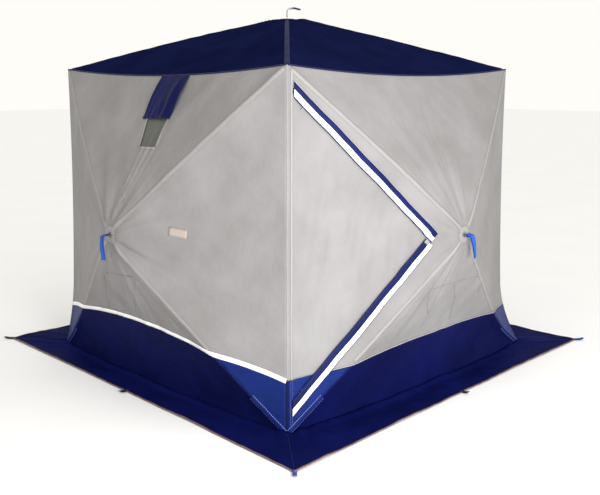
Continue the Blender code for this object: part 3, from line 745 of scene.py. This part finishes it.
# Corner gussets. Where the kick band turns a corner it has a triangle of lighter blue oxford on each
# side of the seam, sewn along the rod pocket.
gusset_oxford = woven("coated_blue_oxford", "#14286b", "#0f205a", 0.45, thread=0.006, crumple=0.8, gloss=0.08)
for wall in walls:
    line = band_line(wall)
    for place in ("low_left", "low_right"):
        sides = RIDGES[place]
        meets = ridge_point(wall, sides, band_crossing(wall, sides))
        foot = (sides[0] * (half - 0.006), -wall.half_up + 0.006)
        edge_top = (sides[0] * (half - 0.006), line(half) - 0.004)
        meets = (meets.x, meets.y - 0.006)
        outline = [foot, edge_top, meets] if sides[0] > 0 else [foot, meets, edge_top]
        low_x, high_x = sorted((foot[0], meets[0]))
        bm = flat_cloth((low_x, -wall.half_up), (high_x, meets[1]))
        cut_outline(bm, outline, keep=True)
        if wall.name == "front" and sides[0] < 0:
            cut_outline(bm, door_opening)
        with_weave_map(bm)
        for vert in bm.verts:
            vert.co = laid_on(wall, vert.co.x, vert.co.y, 0.0008)
        facing(bm, wall.out)
        gusset = new_piece(f"{wall.name}_corner_gusset_{place}", bm, gusset_oxford)
        stretch_to_hub(gusset)
        thicken(gusset, 0.0006, 1.0)

foot_patch = stitched_cloth("stitched_foot_patch", "#16256a", "#101c57", "#7f87b4", gloss=0.1)
for wall in walls:
    for place in ("low_left", "low_right"):
        low, high = (ridge_point(wall, RIDGES[place], share) for share in (0.012, 0.190))
        patch = strip_on(
            f"{wall.name}_foot_patch_{place}", on_face(wall), straight(low, high), (high - low).length, 0.036,
            foot_patch, proud=0.0020,
        )
        stretch_to_hub(patch)

# Hub patches. A round patch of cloth with two rings of stitches covers each hub, where its stud
# comes through the panel.
PATCH_IN = 0.012
PATCH_WIDTH = 0.038
for face in faces.values():
    ring = PATCH_IN + PATCH_WIDTH / 2
    patch = strip_on(
        f"{face.name}_hub_patch", on_face(face),
        lambda share: (ring * math.cos(math.tau * share), ring * math.sin(math.tau * share)),
        math.tau * ring, PATCH_WIDTH, navy_pocket if face.roof else grey_pocket, proud=0.0018,
    )
    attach(patch, f"{face.name}_hub")

# Inner pockets. Rows of stitches show through the side walls where the pockets inside are sewn on,
# and a small cream label patch is sewn to the vent wall.
pocket_thread = stitched_cloth("pocket_stitching", "#92908f", "#878584", "#76747a", rows=(0.5,), stitch=0.016)
POCKETS = {
    "left": [
        [(-0.183, -0.250), (0.137, -0.221), (-0.004, -0.455), (-0.311, -0.510), (-0.183, -0.250)],
    ],
    "front": [
        [(-0.181, -0.287), (0.056, -0.286), (0.365, -0.300), (0.373, -0.409)],
        [(-0.181, -0.287), (-0.122, -0.433)],
        [(0.056, -0.286), (0.121, -0.389), (0.149, -0.530)],
    ],
    "right": [
        [(-0.30, -0.27), (0.30, -0.27), (0.30, -0.42), (-0.30, -0.42), (-0.30, -0.27)],
        [(0.0, -0.27), (0.0, -0.42)],
    ],
}
for name, rows_of_stitches in POCKETS.items():
    wall = faces[name]
    for number, row in enumerate(rows_of_stitches):
        for leg, (start, end) in enumerate(zip(row, row[1:])):
            start, end = Vector(start), Vector(end)
            seam = strip_on(
                f"{name}_pocket_seam_{number}_{leg}", on_face(wall), straight(start, end),
                (end - start).length, 0.007, pocket_thread, proud=0.0012, thickness=0.0006,
            )
            stretch_to_hub(seam)
label_patch = strip_on(
    "left_label_patch", on_face(faces["left"]), straight((0.376, 0.052), (0.474, 0.040)), 0.099, 0.046,
    stitched_cloth("cream_label_cloth", "#ab9f99", "#a2958f", "#93877f"), proud=0.0022,
)
stretch_to_hub(label_patch)

# Snow skirt. A wide flap of the same navy oxford, sewn to the bands' feet, lies on the ground all
# round. Its hem is bound in brown tape, and its corners are pulled out by their peg loops.
SKIRT_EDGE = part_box("snow_skirt")[1].x
SKIRT_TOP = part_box("snow_skirt")[1].z
CORNER_PULL = {  # how far each peg loop draws its corner off the square
    (-1, -1): Vector((0.042, -0.006, 0)), (1, -1): Vector((0.100, -0.030, 0)),
    (1, 1): Vector((0.030, 0.025, 0)), (-1, 1): Vector((0.048, 0.060, 0)),
}


def skirt_point(wall, share, out_share, lift=True):
    """A point of the skirt beside a wall: -1 to 1 along it, and 0 at the wall to 1 at the hem."""
    inner = on_cloth(wall, share * half, -wall.half_up, 0)
    flat_out = wall.out * SKIRT_EDGE
    outer = flat_out + wall.across * share * SKIRT_EDGE
    ends = []
    for side in (-1, 1):
        corner = wall.out + wall.across * side
        ends.append(CORNER_PULL[(round(corner.x), round(corner.y))])
    outer += ends[0].lerp(ends[1], (share + 1) / 2)
    slack = 1 - share * share
    outer += wall.out * slack * (0.006 * noise.noise(Vector((share * 3, wall.seed, 0))) - 0.008)
    point = inner.lerp(outer, out_share)
    if not lift:
        return Vector((point.x, point.y, 0))
    gather = math.exp(-8 * (1 - abs(share))) * math.exp(-3 * out_share)
    ridge = noise.noise(Vector((share * 4.0, out_share * 1.1, wall.seed * 3)))
    fine = noise.noise(Vector((share * 16, out_share * 2.4, wall.seed * 5)))
    pleat = math.sin(share * 60 + 2 * out_share) * gather
    height = SKIRT_TOP + 0.0015 + 0.020 * max(ridge + 0.15, 0) * (1 - 0.6 * out_share)
    height += 0.005 * abs(fine) + 0.011 * (pleat + gather)
    height += 0.014 * math.exp(-(((out_share - 0.08) / 0.10) ** 2)) * slack
    return Vector((point.x, point.y, height))


SKIRT_COLUMNS = 130
SKIRT_ROWS = 22


def skirt_side(wall):
    """One side of the skirt, mapped by where it lies when flat."""
    bm = bmesh.new()
    bmesh.ops.create_grid(bm, x_segments=SKIRT_COLUMNS, y_segments=SKIRT_ROWS, size=1)
    layer = bm.loops.layers.uv.new("cut")
    for skirt_face in bm.faces:
        for loop in skirt_face.loops:
            flat = skirt_point(wall, loop.vert.co.x, (loop.vert.co.y + 1) / 2, lift=False)
            loop[layer].uv = (flat.x, flat.y)
    for vert in bm.verts:
        vert.co = skirt_point(wall, vert.co.x, (vert.co.y + 1) / 2)
    return bm


skirt_oxford = woven("skirt_navy_oxford", "#0f1550", "#0a0f3d", 0.60, thread=0.006, crumple=0.8, gloss=0.01)
whole = bmesh.new()
for wall in walls:
    side = skirt_side(wall)
    holder = bpy.data.meshes.new("skirt_side")
    side.to_mesh(holder)
    side.free()
    whole.from_mesh(holder)
    bpy.data.meshes.remove(holder)
bmesh.ops.remove_doubles(whole, verts=whole.verts, dist=0.004)
facing(whole, Vector((0, 0, 1)))
skirt_area = cloth_area(whole)
skirt = new_piece("snow_skirt_cloth", whole, skirt_oxford)
thicken(skirt, CLOTH)
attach(skirt, "shelter")
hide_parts("snow_skirt")

brown_hem = stitched_cloth("brown_hem_tape", "#8d6f62", "#6f574e", "#4a3a3a", rows=(0.5,), gloss=0.1)
seam_navy = cord_cloth("navy_seam_cord", "#141a56", "#0d1140")
HEM = 0.008
for wall in walls:
    hem = strip_grid(2 * SKIRT_EDGE, 0.02, 2)
    for vert in hem.verts:
        share = 2 * vert.co.x
        edge = skirt_point(wall, share, 1.0)
        rise = 0.0012 - 0.0020 * (vert.co.y + 0.5)
        vert.co = edge - wall.out * (0.5 - vert.co.y) * HEM + Vector((0, 0, rise))
    facing(hem, Vector((0, 0, 1)))
    piece = new_piece(f"skirt_hem_{wall.name}", hem, brown_hem)
    thicken(piece, 0.0012, 1.0)
    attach(piece, "shelter")
    mitre = [skirt_point(wall, 1.0, i / 24) + Vector((0, 0, 0.0016)) for i in range(25)]
    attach(piping(f"skirt_corner_seam_{wall.name}", mitre, 0.0022, seam_navy), "shelter")
    foot = [on_cloth(wall, half * (i / 40 - 1), -wall.half_up, 0) + Vector((0, 0, 0.004)) for i in range(81)]
    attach(piping(f"foot_seam_{wall.name}", foot, 0.0028, seam_navy), "shelter")


# Peg loops. Short loops of flat webbing are bar-tacked under the skirt's hem at its corners and at
# the middle of each side, for the snow anchors.
WEBBING_RIB = 0.0035


def strap_webbing(name, colour, edge_colour):
    """Flat woven webbing: ribs across it, drawn wider than the real 1 mm ones, and darker edges."""
    material, shader = new_material(name, Roughness=0.6, Specular_IOR_Level=0.25)
    strip_map = add(material, "ShaderNodeUVMap", {"uv_map": "strip"}).outputs["UV"]
    parts = add(material, "ShaderNodeSeparateXYZ", links={"Vector": strip_map})
    ribs = add(
        material, "ShaderNodeTexWave",
        {"bands_direction": "X", "Scale": 0.314 / WEBBING_RIB, "Distortion": 0.3},
        {"Vector": strip_map},
    )
    off = add(material, "ShaderNodeMath", {"operation": "SUBTRACT", 1: 0.5}, {0: parts.outputs["Y"]})
    size = add(material, "ShaderNodeMath", {"operation": "ABSOLUTE"}, {0: off.outputs[0]})
    edge = add(material, "ShaderNodeMapRange", {1: 0.36, 2: 0.44}, {0: size.outputs[0]})
    cloth = add(
        material, "ShaderNodeMix", {"data_type": "RGBA", 6: linear(colour), 7: linear(edge_colour)},
        {"Factor": edge.outputs[0]},
    )
    shaded = add(
        material, "ShaderNodeMix", {"data_type": "RGBA", "blend_type": "MULTIPLY", 7: (0.72, 0.72, 0.72, 1)},
        {"Factor": ribs.outputs["Fac"], 6: cloth.outputs[2]},
    )
    material.node_tree.links.new(shaded.outputs[2], shader.inputs["Base Color"])
    raised = add(
        material, "ShaderNodeBump", {"Strength": 0.6, "Distance": 0.0008}, {"Height": ribs.outputs["Fac"]}
    )
    material.node_tree.links.new(raised.outputs["Normal"], shader.inputs["Normal"])
    return material


def webbing(name, path, across, width, material, thickness=0.0016):
    """A flat strap along a path of points, folded and turned as its width directions say."""
    lengths = [0.0]
    for start, end in zip(path, path[1:]):
        lengths.append(lengths[-1] + (end - start).length)
    bm = strip_grid(lengths[-1], 0.004, 4)

    def along(share):
        reach = share * lengths[-1]
        for i in range(len(path) - 1):
            if reach <= lengths[i + 1] or i == len(path) - 2:
                part = (reach - lengths[i]) / max(lengths[i + 1] - lengths[i], 1e-9)
                return path[i].lerp(path[i + 1], clamp(part))

    for vert in bm.verts:
        share = vert.co.x + 0.5
        wide = across(share) if callable(across) else across
        vert.co = along(share) + wide * vert.co.y * width
    bmesh.ops.recalc_face_normals(bm, faces=bm.faces)
    piece = new_piece(name, bm, material)
    return thicken(piece, thickness, 0.0)


blue_webbing = strap_webbing("royal_blue_webbing", "#2456bd", "#17398c")
navy_webbing = strap_webbing("navy_webbing", "#1a2058", "#11153f")
olive_webbing = strap_webbing("pale_olive_webbing", "#9a9a86", "#7c7c6a")
brown_webbing = strap_webbing("orange_brown_webbing", "#a5673f", "#7d4a2b")


def peg_loop(name, root, out, materials, reach=0.072, width=0.020):
    """A folded loop of webbing that lies out from the hem, its two layers apart at the fold."""
    side = Vector((0, 0, 1)).cross(out)
    for number, (material, start, end) in enumerate(materials):
        path = []
        for i in range(25):
            share = start + (end - start) * i / 24
            turn = share * math.pi
            run = reach * math.sin(turn) ** 0.6
            rise = 0.0045 - 0.0032 * math.cos(turn) + 0.010 * math.sin(turn) ** 2
            path.append(root + out * (run - 0.022) + Vector((0, 0, rise)))
        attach(webbing(f"{name}_{number}", path, side, width, material, 0.0014), "shelter")


for wall in walls:
    sides = (round((wall.out + wall.across).x), round((wall.out + wall.across).y))
    out = Vector((*sides, 0)).normalized()
    root = skirt_point(wall, 1.0, 1.0, lift=False)
    kinds = [(blue_webbing, 0.0, 1.0)]
    if sides == (-1, -1):
        kinds = [(blue_webbing, 0.0, 0.36), (brown_webbing, 0.36, 0.64), (blue_webbing, 0.64, 1.0)]
    if sides == (-1, 1):
        kinds = [(navy_webbing, 0.0, 0.30), (olive_webbing, 0.30, 0.70), (navy_webbing, 0.70, 1.0)]
    peg_loop(f"corner_peg_loop_{wall.name}", root, out, kinds)
    middle = skirt_point(wall, 0.0, 1.0, lift=False)
    peg_loop(f"side_peg_loop_{wall.name}", middle, wall.out, [(navy_webbing, 0.0, 1.0)], 0.060, 0.018)

# Door. A triangle of the wall's own cloth with a kick piece at its foot, hinged along the corner
# edge and zipped along its two slanting sides. It hangs a little slack, in soft upright folds.
DOOR_PLAY = 0.008  # from the door's slanting edges to the zips' middle
DOOR_HINGE_PLAY = 0.002


def hang_on_hinge(piece):
    """Bakes the piece's placement into its mesh. The hinge's point is found but not used."""
    hinge = on_cloth(faces["front"], door_edge, 0, 0)
    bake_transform(piece)


def door_surface(x, y, proud):
    """The door's cloth: the wall's own plane with soft upright folds in its open middle."""
    wall = faces["front"]
    slack = clamp(min(door_apex - x - abs(y), (x - door_edge) * 2) / 0.16)
    folds = noise.noise(Vector((x * 11 + y * 2.5, y * 1.6, 4.0)))
    folds += 0.6 * noise.noise(Vector((x * 24 - y * 4, y * 2.6, 9.0)))
    folds += 0.8 * noise.noise(Vector((x * 4, y * 2.2, 2.0)))
    return laid_on(wall, x, y, proud + 0.0110 * folds * slack)


line = band_line(faces["front"])
low_x = door_edge + DOOR_HINGE_PLAY
high_x = door_apex - DOOR_PLAY * math.sqrt(2)
door_reach = high_x - low_x
door_outline = [(low_x, -door_reach), (high_x, 0.0), (low_x, door_reach)]
for name, bottom, top, material in (
    ("door_cloth", line, None, wall_polyester),
    ("door_kick_cloth", None, line, gusset_oxford),
):
    low, high = (low_x, -door_reach), (high_x, door_reach)
    bm = flat_cloth(low, high, top_line=top, bottom_line=bottom)
    cut_outline(bm, door_outline, keep=True)
    with_weave_map(bm)
    for vert in bm.verts:
        vert.co = door_surface(vert.co.x, vert.co.y, 0.0)
    facing(bm, faces["front"].out)
    area = cloth_area(bm)
    door_piece = new_piece(name, bm, material)
    thicken(door_piece, CLOTH)
    hang_on_hinge(door_piece)
    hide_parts("door_panel")

door_hem_cloth = stitched_cloth("door_hem_cloth", "#92908f", "#878584", "#76747a")
for side, level in ((1, "upper"), (-1, "lower")):
    inward_step = Vector((-1, -side)).normalized() * 0.010
    start = Vector((low_x + 0.012, side * (door_reach - 0.012))) + inward_step
    end = Vector((high_x - 0.012, 0.0)) + inward_step
    if side < 0:
        start = next(p for p in (start.lerp(end, i / 200) for i in range(200)) if p.y > line(p.x) + 0.004)
    hem = strip_on(
        f"door_{level}_hem", door_surface, straight(start, end), (end - start).length, 0.016, door_hem_cloth,
    )
    hang_on_hinge(hem)
hinge_x = door_edge + DOOR_HINGE_PLAY / 2
foot_y, band_y, top_y = -corner_height / 2 + 0.02, line(hinge_x), corner_height / 2 - 0.02
for name, start_y, end_y, material in (
    ("door_hinge_seam", band_y, top_y, grey_pocket), ("door_hinge_band_seam", foot_y, band_y, foot_patch),
):
    hinge_seam = strip_on(
        name, on_face(faces["front"]), straight((hinge_x, start_y), (hinge_x, end_y)), end_y - start_y, 0.013,
        material, proud=0.0012,
    )
    stretch_to_hub(hinge_seam)

# Storm flaps. A strip of blue oxford with a white reflective band lies over each zip, with a navy
# piping on its free edge and a thin pale binding on its sewn one.
FLAP_IN, FLAP_OUT = -0.030, 0.026  # across, from the zip to the door side and to the wall side
FLAP_RISE = 0.0085
FLAP_TAPE = 0.0255  # the white band's width
flap_oxford = woven("flap_blue_oxford", "#172058", "#111947", 0.5, thread=0.006, crumple=0.5, gloss=0.08)
zip_length = (door_apex - door_edge) * math.sqrt(2)


def flap_surface(x, y, proud):
    ripple = noise.noise(Vector((x * 8, y * 8, 6.0))) + 0.5 * noise.noise(Vector((x * 22, y * 22, 3.0)))
    return laid_on(faces["front"], x, y, FLAP_RISE + proud + 0.0016 * ripple)


def flap_place(side, share, off, short):
    """A point along a zip, from the corner edge to the apex, at an offset across the flap."""
    start = -off + DOOR_HINGE_PLAY * 2
    end = zip_length - short
    reach = start + share * (end - start)
    off += 0.012 * (1 - share) if side > 0 else -0.013 * share
    off += 0.0022 * noise.noise(Vector((reach * 5, side * 4.0, 1.0)))
    along = Vector((1, -side)) / math.sqrt(2)
    across = Vector((1, side)) / math.sqrt(2)
    return Vector((door_edge, side * door_corner)) + along * reach + across * off


def flap_strip(name, side, low, high, short, material, proud, thickness):
    bm = strip_grid(zip_length, 0.012, 5)
    layer = bm.loops.layers.uv.new("cut")
    for flap_face in bm.faces:
        for loop in flap_face.loops:
            flat = loop.vert.co
            loop[layer].uv = ((flat.x + 0.5) * zip_length, flat.y * (high - low))
    for vert in bm.verts:
        place = flap_place(side, vert.co.x + 0.5, low + (vert.co.y + 0.5) * (high - low), short)
        vert.co = flap_surface(place.x, place.y, proud)
    facing(bm, faces["front"].out)
    piece = new_piece(name, bm, material)
    thicken(piece, thickness, 1.0)
    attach(piece, "door_surround")
    return piece


for side, level, short, tape_from in ((1, "upper", 0.006, -0.0265), (-1, "lower", 0.040, -0.0005)):
    flap = flap_strip(f"{level}_storm_flap_cloth", side, FLAP_IN, FLAP_OUT, short, flap_oxford, 0.0, 0.0010)
    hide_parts(f"{level}_storm_flap")
    flap_strip(
        f"{level}_flap_tape", side, tape_from, tape_from + FLAP_TAPE, short + 0.001, white_tape,
        0.0012, 0.0006,
    )
    for off, kind, material in ((FLAP_IN, "inner", navy_binding), (FLAP_OUT, "outer", pale_binding)):
        if level == "lower" and kind == "outer":
            material = navy_binding
        route = []
        for i in range(61):
            place = flap_place(side, i / 60, off, short)
            route.append(flap_surface(place.x, place.y, 0.0006))
        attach(piping(f"{level}_flap_{kind}_piping", route, 0.0021, material), "door_surround")

stay_places = []
for off in (-0.062, -0.036):
    place = flap_place(-1, 0.985, off + 0.035, 0.030)
    stay_places.append(place)
stay = strip_on(
    "zip_garage", flap_surface, straight(stay_places[0], stay_places[1]), 0.03, 0.024, grey_pocket,
    proud=0.0012,
)
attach(stay, "door_surround")

# Zips. Coil zips on woven tape, sewn under the storm flaps; each has a cast slider with a pull tab.
zip_cloth, zip_shader = new_material("zip_coil_and_tape", Roughness=0.45, Specular_IOR_Level=0.3)
zip_place = add(zip_cloth, "ShaderNodeTexCoord").outputs["Object"]
zip_teeth = add(zip_cloth, "ShaderNodeTexChecker", {"Scale": 260.0}, {"Vector": zip_place})
zip_mix = add(
    zip_cloth, "ShaderNodeMix", {"data_type": "RGBA", 6: linear("#23284f"), 7: linear("#14183a")},
    {"Factor": zip_teeth.outputs["Fac"]},
)
zip_cloth.node_tree.links.new(zip_mix.outputs[2], zip_shader.inputs["Base Color"])
zip_bump = add(
    zip_cloth, "ShaderNodeBump", {"Strength": 0.6, "Distance": 0.0012}, {"Height": zip_teeth.outputs["Fac"]}
)
zip_cloth.node_tree.links.new(zip_bump.outputs["Normal"], zip_shader.inputs["Normal"])


def finish_node(name, material):
    """Gives a node of the frame its finish."""
    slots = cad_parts[name].data.materials
    slots.clear()
    slots.append(material)


def mottled(name, light, dark, scale, **values):
    """A cast or moulded surface: a fine grain and a little uneven colour."""
    material, shader = new_material(name, **values)
    place = add(material, "ShaderNodeTexCoord").outputs["Object"]
    grain = add(
        material, "ShaderNodeTexNoise", {"Scale": scale, "Detail": 6.0, "Roughness": 0.6}, {"Vector": place}
    )
    mix = add(
        material, "ShaderNodeMix", {"data_type": "RGBA", 6: linear(dark), 7: linear(light)},
        {"Factor": grain.outputs["Fac"]},
    )
    material.node_tree.links.new(mix.outputs[2], shader.inputs["Base Color"])
    bump = add(
        material, "ShaderNodeBump", {"Strength": 0.25, "Distance": 0.0006}, {"Height": grain.outputs["Fac"]}
    )
    material.node_tree.links.new(bump.outputs["Normal"], shader.inputs["Normal"])
    return material, shader, mix, place


cast_zinc = mottled("cast_zinc_slider", "#9b9da2", "#74767c", 300.0, Roughness=0.38, Metallic=0.85)[0]
for level in ("upper", "lower"):
    finish_node(f"{level}_zip", zip_cloth)
    finish_node(f"{level}_zip_slider", cast_zinc)

# Vent. A pane of grey film in a taped opening near the roof, and a flap of the roof's navy cloth
# that hangs over it from the roof seam and can be rolled up.
window_film, film_shader = new_material("grey_window_film", Roughness=0.34, Specular_IOR_Level=0.3)
film_place = add(window_film, "ShaderNodeTexCoord").outputs["Object"]
film_waves = add(window_film, "ShaderNodeTexNoise", {"Scale": 9.0, "Detail": 4.0}, {"Vector": film_place})
film_net = add(window_film, "ShaderNodeTexChecker", {"Scale": 420.0}, {"Vector": film_place})
film_mix = add(
    window_film, "ShaderNodeMix", {"data_type": "RGBA", 6: linear("#4b4d47"), 7: linear("#5d5f58")},
    {"Factor": film_waves.outputs["Fac"]},
)
film_shade = add(
    window_film, "ShaderNodeMix", {"data_type": "RGBA", "blend_type": "MULTIPLY", 7: (0.8, 0.8, 0.8, 1)},
    {"Factor": film_net.outputs["Fac"], 6: film_mix.outputs[2]},
)
window_film.node_tree.links.new(film_shade.outputs[2], film_shader.inputs["Base Color"])
film_bump = add(
    window_film, "ShaderNodeBump", {"Strength": 0.5, "Distance": 0.006}, {"Height": film_waves.outputs["Fac"]}
)
window_film.node_tree.links.new(film_bump.outputs["Normal"], film_shader.inputs["Normal"])
vent_wall = faces["left"]
PANE_EDGE = 0.009  # the pane's own hem, behind the wall's cloth
pane_outline = []
for x, y in vent_opening:
    side = math.copysign(PANE_EDGE, x - VENT_MIDDLE)
    middle_y = corner_height / 2 - (VENT_TOP + VENT_FOOT) / 2
    pane_outline.append((x + side, y + math.copysign(PANE_EDGE, y - middle_y)))
bm = flat_cloth(
    (min(p[0] for p in pane_outline), min(p[1] for p in pane_outline)),
    (max(p[0] for p in pane_outline), max(p[1] for p in pane_outline)),
)
cut_outline(bm, pane_outline, keep=True)
with_weave_map(bm)
for vert in bm.verts:
    vert.co = laid_on(vent_wall, vert.co.x, vert.co.y, -0.0030)
facing(bm, vent_wall.out)
pane = new_piece("vent_pane", bm, window_film)
thicken(pane, 0.0006)
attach(pane, "vent_surround")
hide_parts("vent_window")
for number, (start, end) in enumerate(zip(vent_opening, vent_opening[1:] + vent_opening[:1])):
    start, end = Vector(start), Vector(end)
    out_step = Vector((end.y - start.y, start.x - end.x)).normalized() * 0.006
    tape = strip_on(
        f"vent_frame_tape_{number}", on_face(vent_wall), straight(start + out_step, end + out_step),
        (end - start).length, 0.013, grey_pocket, proud=0.0008,
    )
    stretch_to_hub(tape)

VENT_FLAP_HALF = 0.120
VENT_FLAP_TOP_X, VENT_FLAP_FOOT_X = 0.146, 0.090  # the middle of its top and of its foot
VENT_FLAP_TOP, VENT_FLAP_FOOT = 0.001, 0.262


def vent_flap_point(across, down, proud=0.0):
    """A point of the vent's flap: -1 to 1 across it and 0 to 1 down it."""
    middle = VENT_FLAP_TOP_X + (VENT_FLAP_FOOT_X - VENT_FLAP_TOP_X) * down
    edge_wave = 0.006 * noise.noise(Vector((across * 2.2, down * 2.0, 8.0)))
    x = middle + across * VENT_FLAP_HALF + edge_wave * down
    y = corner_height / 2 - VENT_FLAP_TOP - (VENT_FLAP_FOOT - VENT_FLAP_TOP) * down
    y += 0.010 * down * noise.noise(Vector((across * 3.1, 1.0, 5.0)))
    lift = 0.003 + 0.010 * math.sin(math.pi * min(down * 1.1, 1.0)) + 0.006 * down * down
    lift += 0.010 * math.exp(-(((across - 0.52) / 0.16) ** 2)) * clamp(down * 3)
    lift += 0.006 * down * noise.noise(Vector((across * 4, down * 2, 2.0)))
    curl = clamp((abs(across) - 0.86) / 0.14) * clamp((down - 0.7) / 0.3)
    lift -= 0.008 * curl
    return laid_on(vent_wall, x, y, max(lift, 0.003) + proud)


def hang_from_roof(piece):
    """Bakes the piece's placement into its mesh. The seam's point is found but not used."""
    seam = vent_flap_point(0.0, 0.0)
    vent_flap_point(0.0, 0.22)
    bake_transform(piece)


flap_cloth = woven("flap_navy_polyester", "#0e1450", "#0a0f3d", 0.45, crumple=0.8, gloss=0.08)
bm = bmesh.new()
bmesh.ops.create_grid(bm, x_segments=30, y_segments=34, size=1)
layer = bm.loops.layers.uv.new("cut")
for flap_face in bm.faces:
    for loop in flap_face.loops:
        loop[layer].uv = (loop.vert.co.x * VENT_FLAP_HALF, loop.vert.co.y * 0.14)
for vert in bm.verts:
    vert.co = vent_flap_point(vert.co.x, (1 - vert.co.y) / 2)
facing(bm, vent_wall.out)
vent_flap = new_piece("vent_flap_cloth", bm, flap_cloth)
thicken(vent_flap, 0.0012, 0.0)
hang_from_roof(vent_flap)
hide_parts("vent_flap")
for name, ends in (
    ("near", ((1, 0), (1, 1))), ("far", ((-1, 0), (-1, 1))), ("foot", ((-1, 1), (1, 1))),
):
    start, end = Vector(ends[0]), Vector(ends[1])
    route = [vent_flap_point(*start.lerp(end, i / 24), 0.0004) for i in range(25)]
    hang_from_roof(piping(f"vent_flap_{name}_hem", route, 0.0024, navy_binding))

# Pull straps. A length of webbing is folded over the bar of each hub's steel eye and bar-tacked to
# itself, so that the hub can be pulled out or pushed in.
STRAP_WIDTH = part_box("front_pull_strap")[1].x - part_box("front_pull_strap")[0].x
BAR_RISE = 0.022  # from a face's crown to the middle of its eye's bar
BAR_HOLD = 0.0046
royal_webbing = strap_webbing("royal_strap_webbing", "#2558c4", "#173f98")
roof_strap_webbing = strap_webbing("roof_strap_webbing", "#7d8a8f", "#1d2a70")


def folded_strap(name, face, droop, out, drop, material, width):
    """A strap doubled over the eye's bar: it stands out of the face, turns over and hangs down."""
    bar = face.middle + face.out * (face.bulge + BAR_RISE)
    bend = out * 0.55
    reach = out - bend
    spine = [(0.0, BAR_HOLD + reach * i / 3) for i in range(1, 4)]
    for i in range(1, 9):
        turn = math.pi / 2 * i / 8
        spine.append((bend * (1 - math.cos(turn)), BAR_HOLD * (1 - i / 8) + reach + bend * math.sin(turn)))
    steps = 10
    for i in range(1, steps + 1):
        share = i / steps
        spine.append((bend + (drop - bend) * share, out * (1 - 0.07 * share) + 0.003 * math.sin(5 * share)))
    layers = []
    for sign in (1, -1):
        layer_points = []
        for i, (down, away) in enumerate(spine):
            before, after = spine[max(i - 1, 0)], spine[min(i + 1, len(spine) - 1)]
            run = Vector((after[0] - before[0], after[1] - before[1])).normalized()
            gap = 0.0010 + 0.0022 * math.sin(math.pi * clamp(i / len(spine))) if i else BAR_HOLD
            shifted = Vector((down, away)) + Vector((-run.y, run.x)) * gap * sign
            layer_points.append(bar + droop * shifted.x + face.out * shifted.y)
        layers.append(layer_points)
    round_bar = []
    for i in range(1, 8):
        turn = math.pi * i / 8
        round_bar.append(bar - face.out * BAR_HOLD * math.sin(turn) - droop * BAR_HOLD * math.cos(turn))
    path = layers[0][::-1] + round_bar + layers[1]
    lean = droop.cross(face.out)

    def turned(share):
        return (lean + face.out * 0.16 * math.cos(share * math.tau) + droop * 0.05).normalized()

    strap = webbing(name, path, turned, width, material, 0.0014)
    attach(strap, f"{face.name}_pull_strap")
    return strap


STRAP_LEAN = {"front": 0.34, "right": -0.12, "back": 0.10, "left": 0.04}
for wall in walls:
    hangs = (wall.across * STRAP_LEAN[wall.name] - Vector((0, 0, 1))).normalized()
    strap = folded_strap(
        f"{wall.name}_strap_webbing", wall, hangs, 0.028, 0.132, royal_webbing, STRAP_WIDTH * 0.9
    )
    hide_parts(f"{wall.name}_pull_strap")
roof = faces["roof"]
down_roof = Vector((1, -1, 0)).normalized()
roof_strap = folded_strap(
    "roof_strap_webbing", roof, down_roof, 0.048, 0.088, roof_strap_webbing, STRAP_WIDTH * 0.9
)
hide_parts("roof_pull_strap")

# Frame. Hubs and corner joints are moulded in black glass-filled nylon, with a bent steel eye on
# each hub. The rods are pultruded glass fibre in crimped steel ferrules with flattened ends.
nylon = mottled("moulded_black_nylon", "#24262a", "#15171a", 180.0, Roughness=0.48)[0]
hub_nylon, hub_shader, hub_mix, hub_place = mottled("hub_nylon_and_steel", "#24262a", "#15171a", 180.0)
parts = add(hub_nylon, "ShaderNodeSeparateXYZ", links={"Vector": hub_place})
sizes = [
    add(hub_nylon, "ShaderNodeMath", {"operation": "ABSOLUTE"}, {0: parts.outputs[axis]})
    for axis in ("X", "Y")
]
widest = add(
    hub_nylon, "ShaderNodeMath", {"operation": "MAXIMUM"}, {0: sizes[0].outputs[0], 1: sizes[1].outputs[0]}
)
beside = add(
    hub_nylon, "ShaderNodeMath", {"operation": "GREATER_THAN", 1: half + wall_bulge + 0.002},
    {0: widest.outputs[0]},
)
above = add(
    hub_nylon, "ShaderNodeMath", {"operation": "GREATER_THAN", 1: corner_height + roof_bulge + 0.002},
    {0: parts.outputs["Z"]},
)
steel_part = add(
    hub_nylon, "ShaderNodeMath", {"operation": "MAXIMUM"}, {0: beside.outputs[0], 1: above.outputs[0]}
)
steel_mix = add(
    hub_nylon, "ShaderNodeMix", {"data_type": "RGBA", 7: linear("#8c8f94")},
    {"Factor": steel_part.outputs[0], 6: hub_mix.outputs[2]},
)
hub_nylon.node_tree.links.new(steel_mix.outputs[2], hub_shader.inputs["Base Color"])
hub_nylon.node_tree.links.new(steel_part.outputs[0], hub_shader.inputs["Metallic"])
shine = add(hub_nylon, "ShaderNodeMapRange", {3: 0.48, 4: 0.30}, {0: steel_part.outputs[0]})
hub_nylon.node_tree.links.new(shine.outputs[0], hub_shader.inputs["Roughness"])
fibreglass = mottled("pultruded_fibreglass", "#d9d6c6", "#c2bfae", 90.0, Roughness=0.4)[0]
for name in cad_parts:
    if "_rod_" in name:
        finish_node(name, fibreglass)
    elif "_corner_" in name:
        finish_node(name, nylon)
    elif name.endswith("_hub"):
        finish_node(name, hub_nylon)
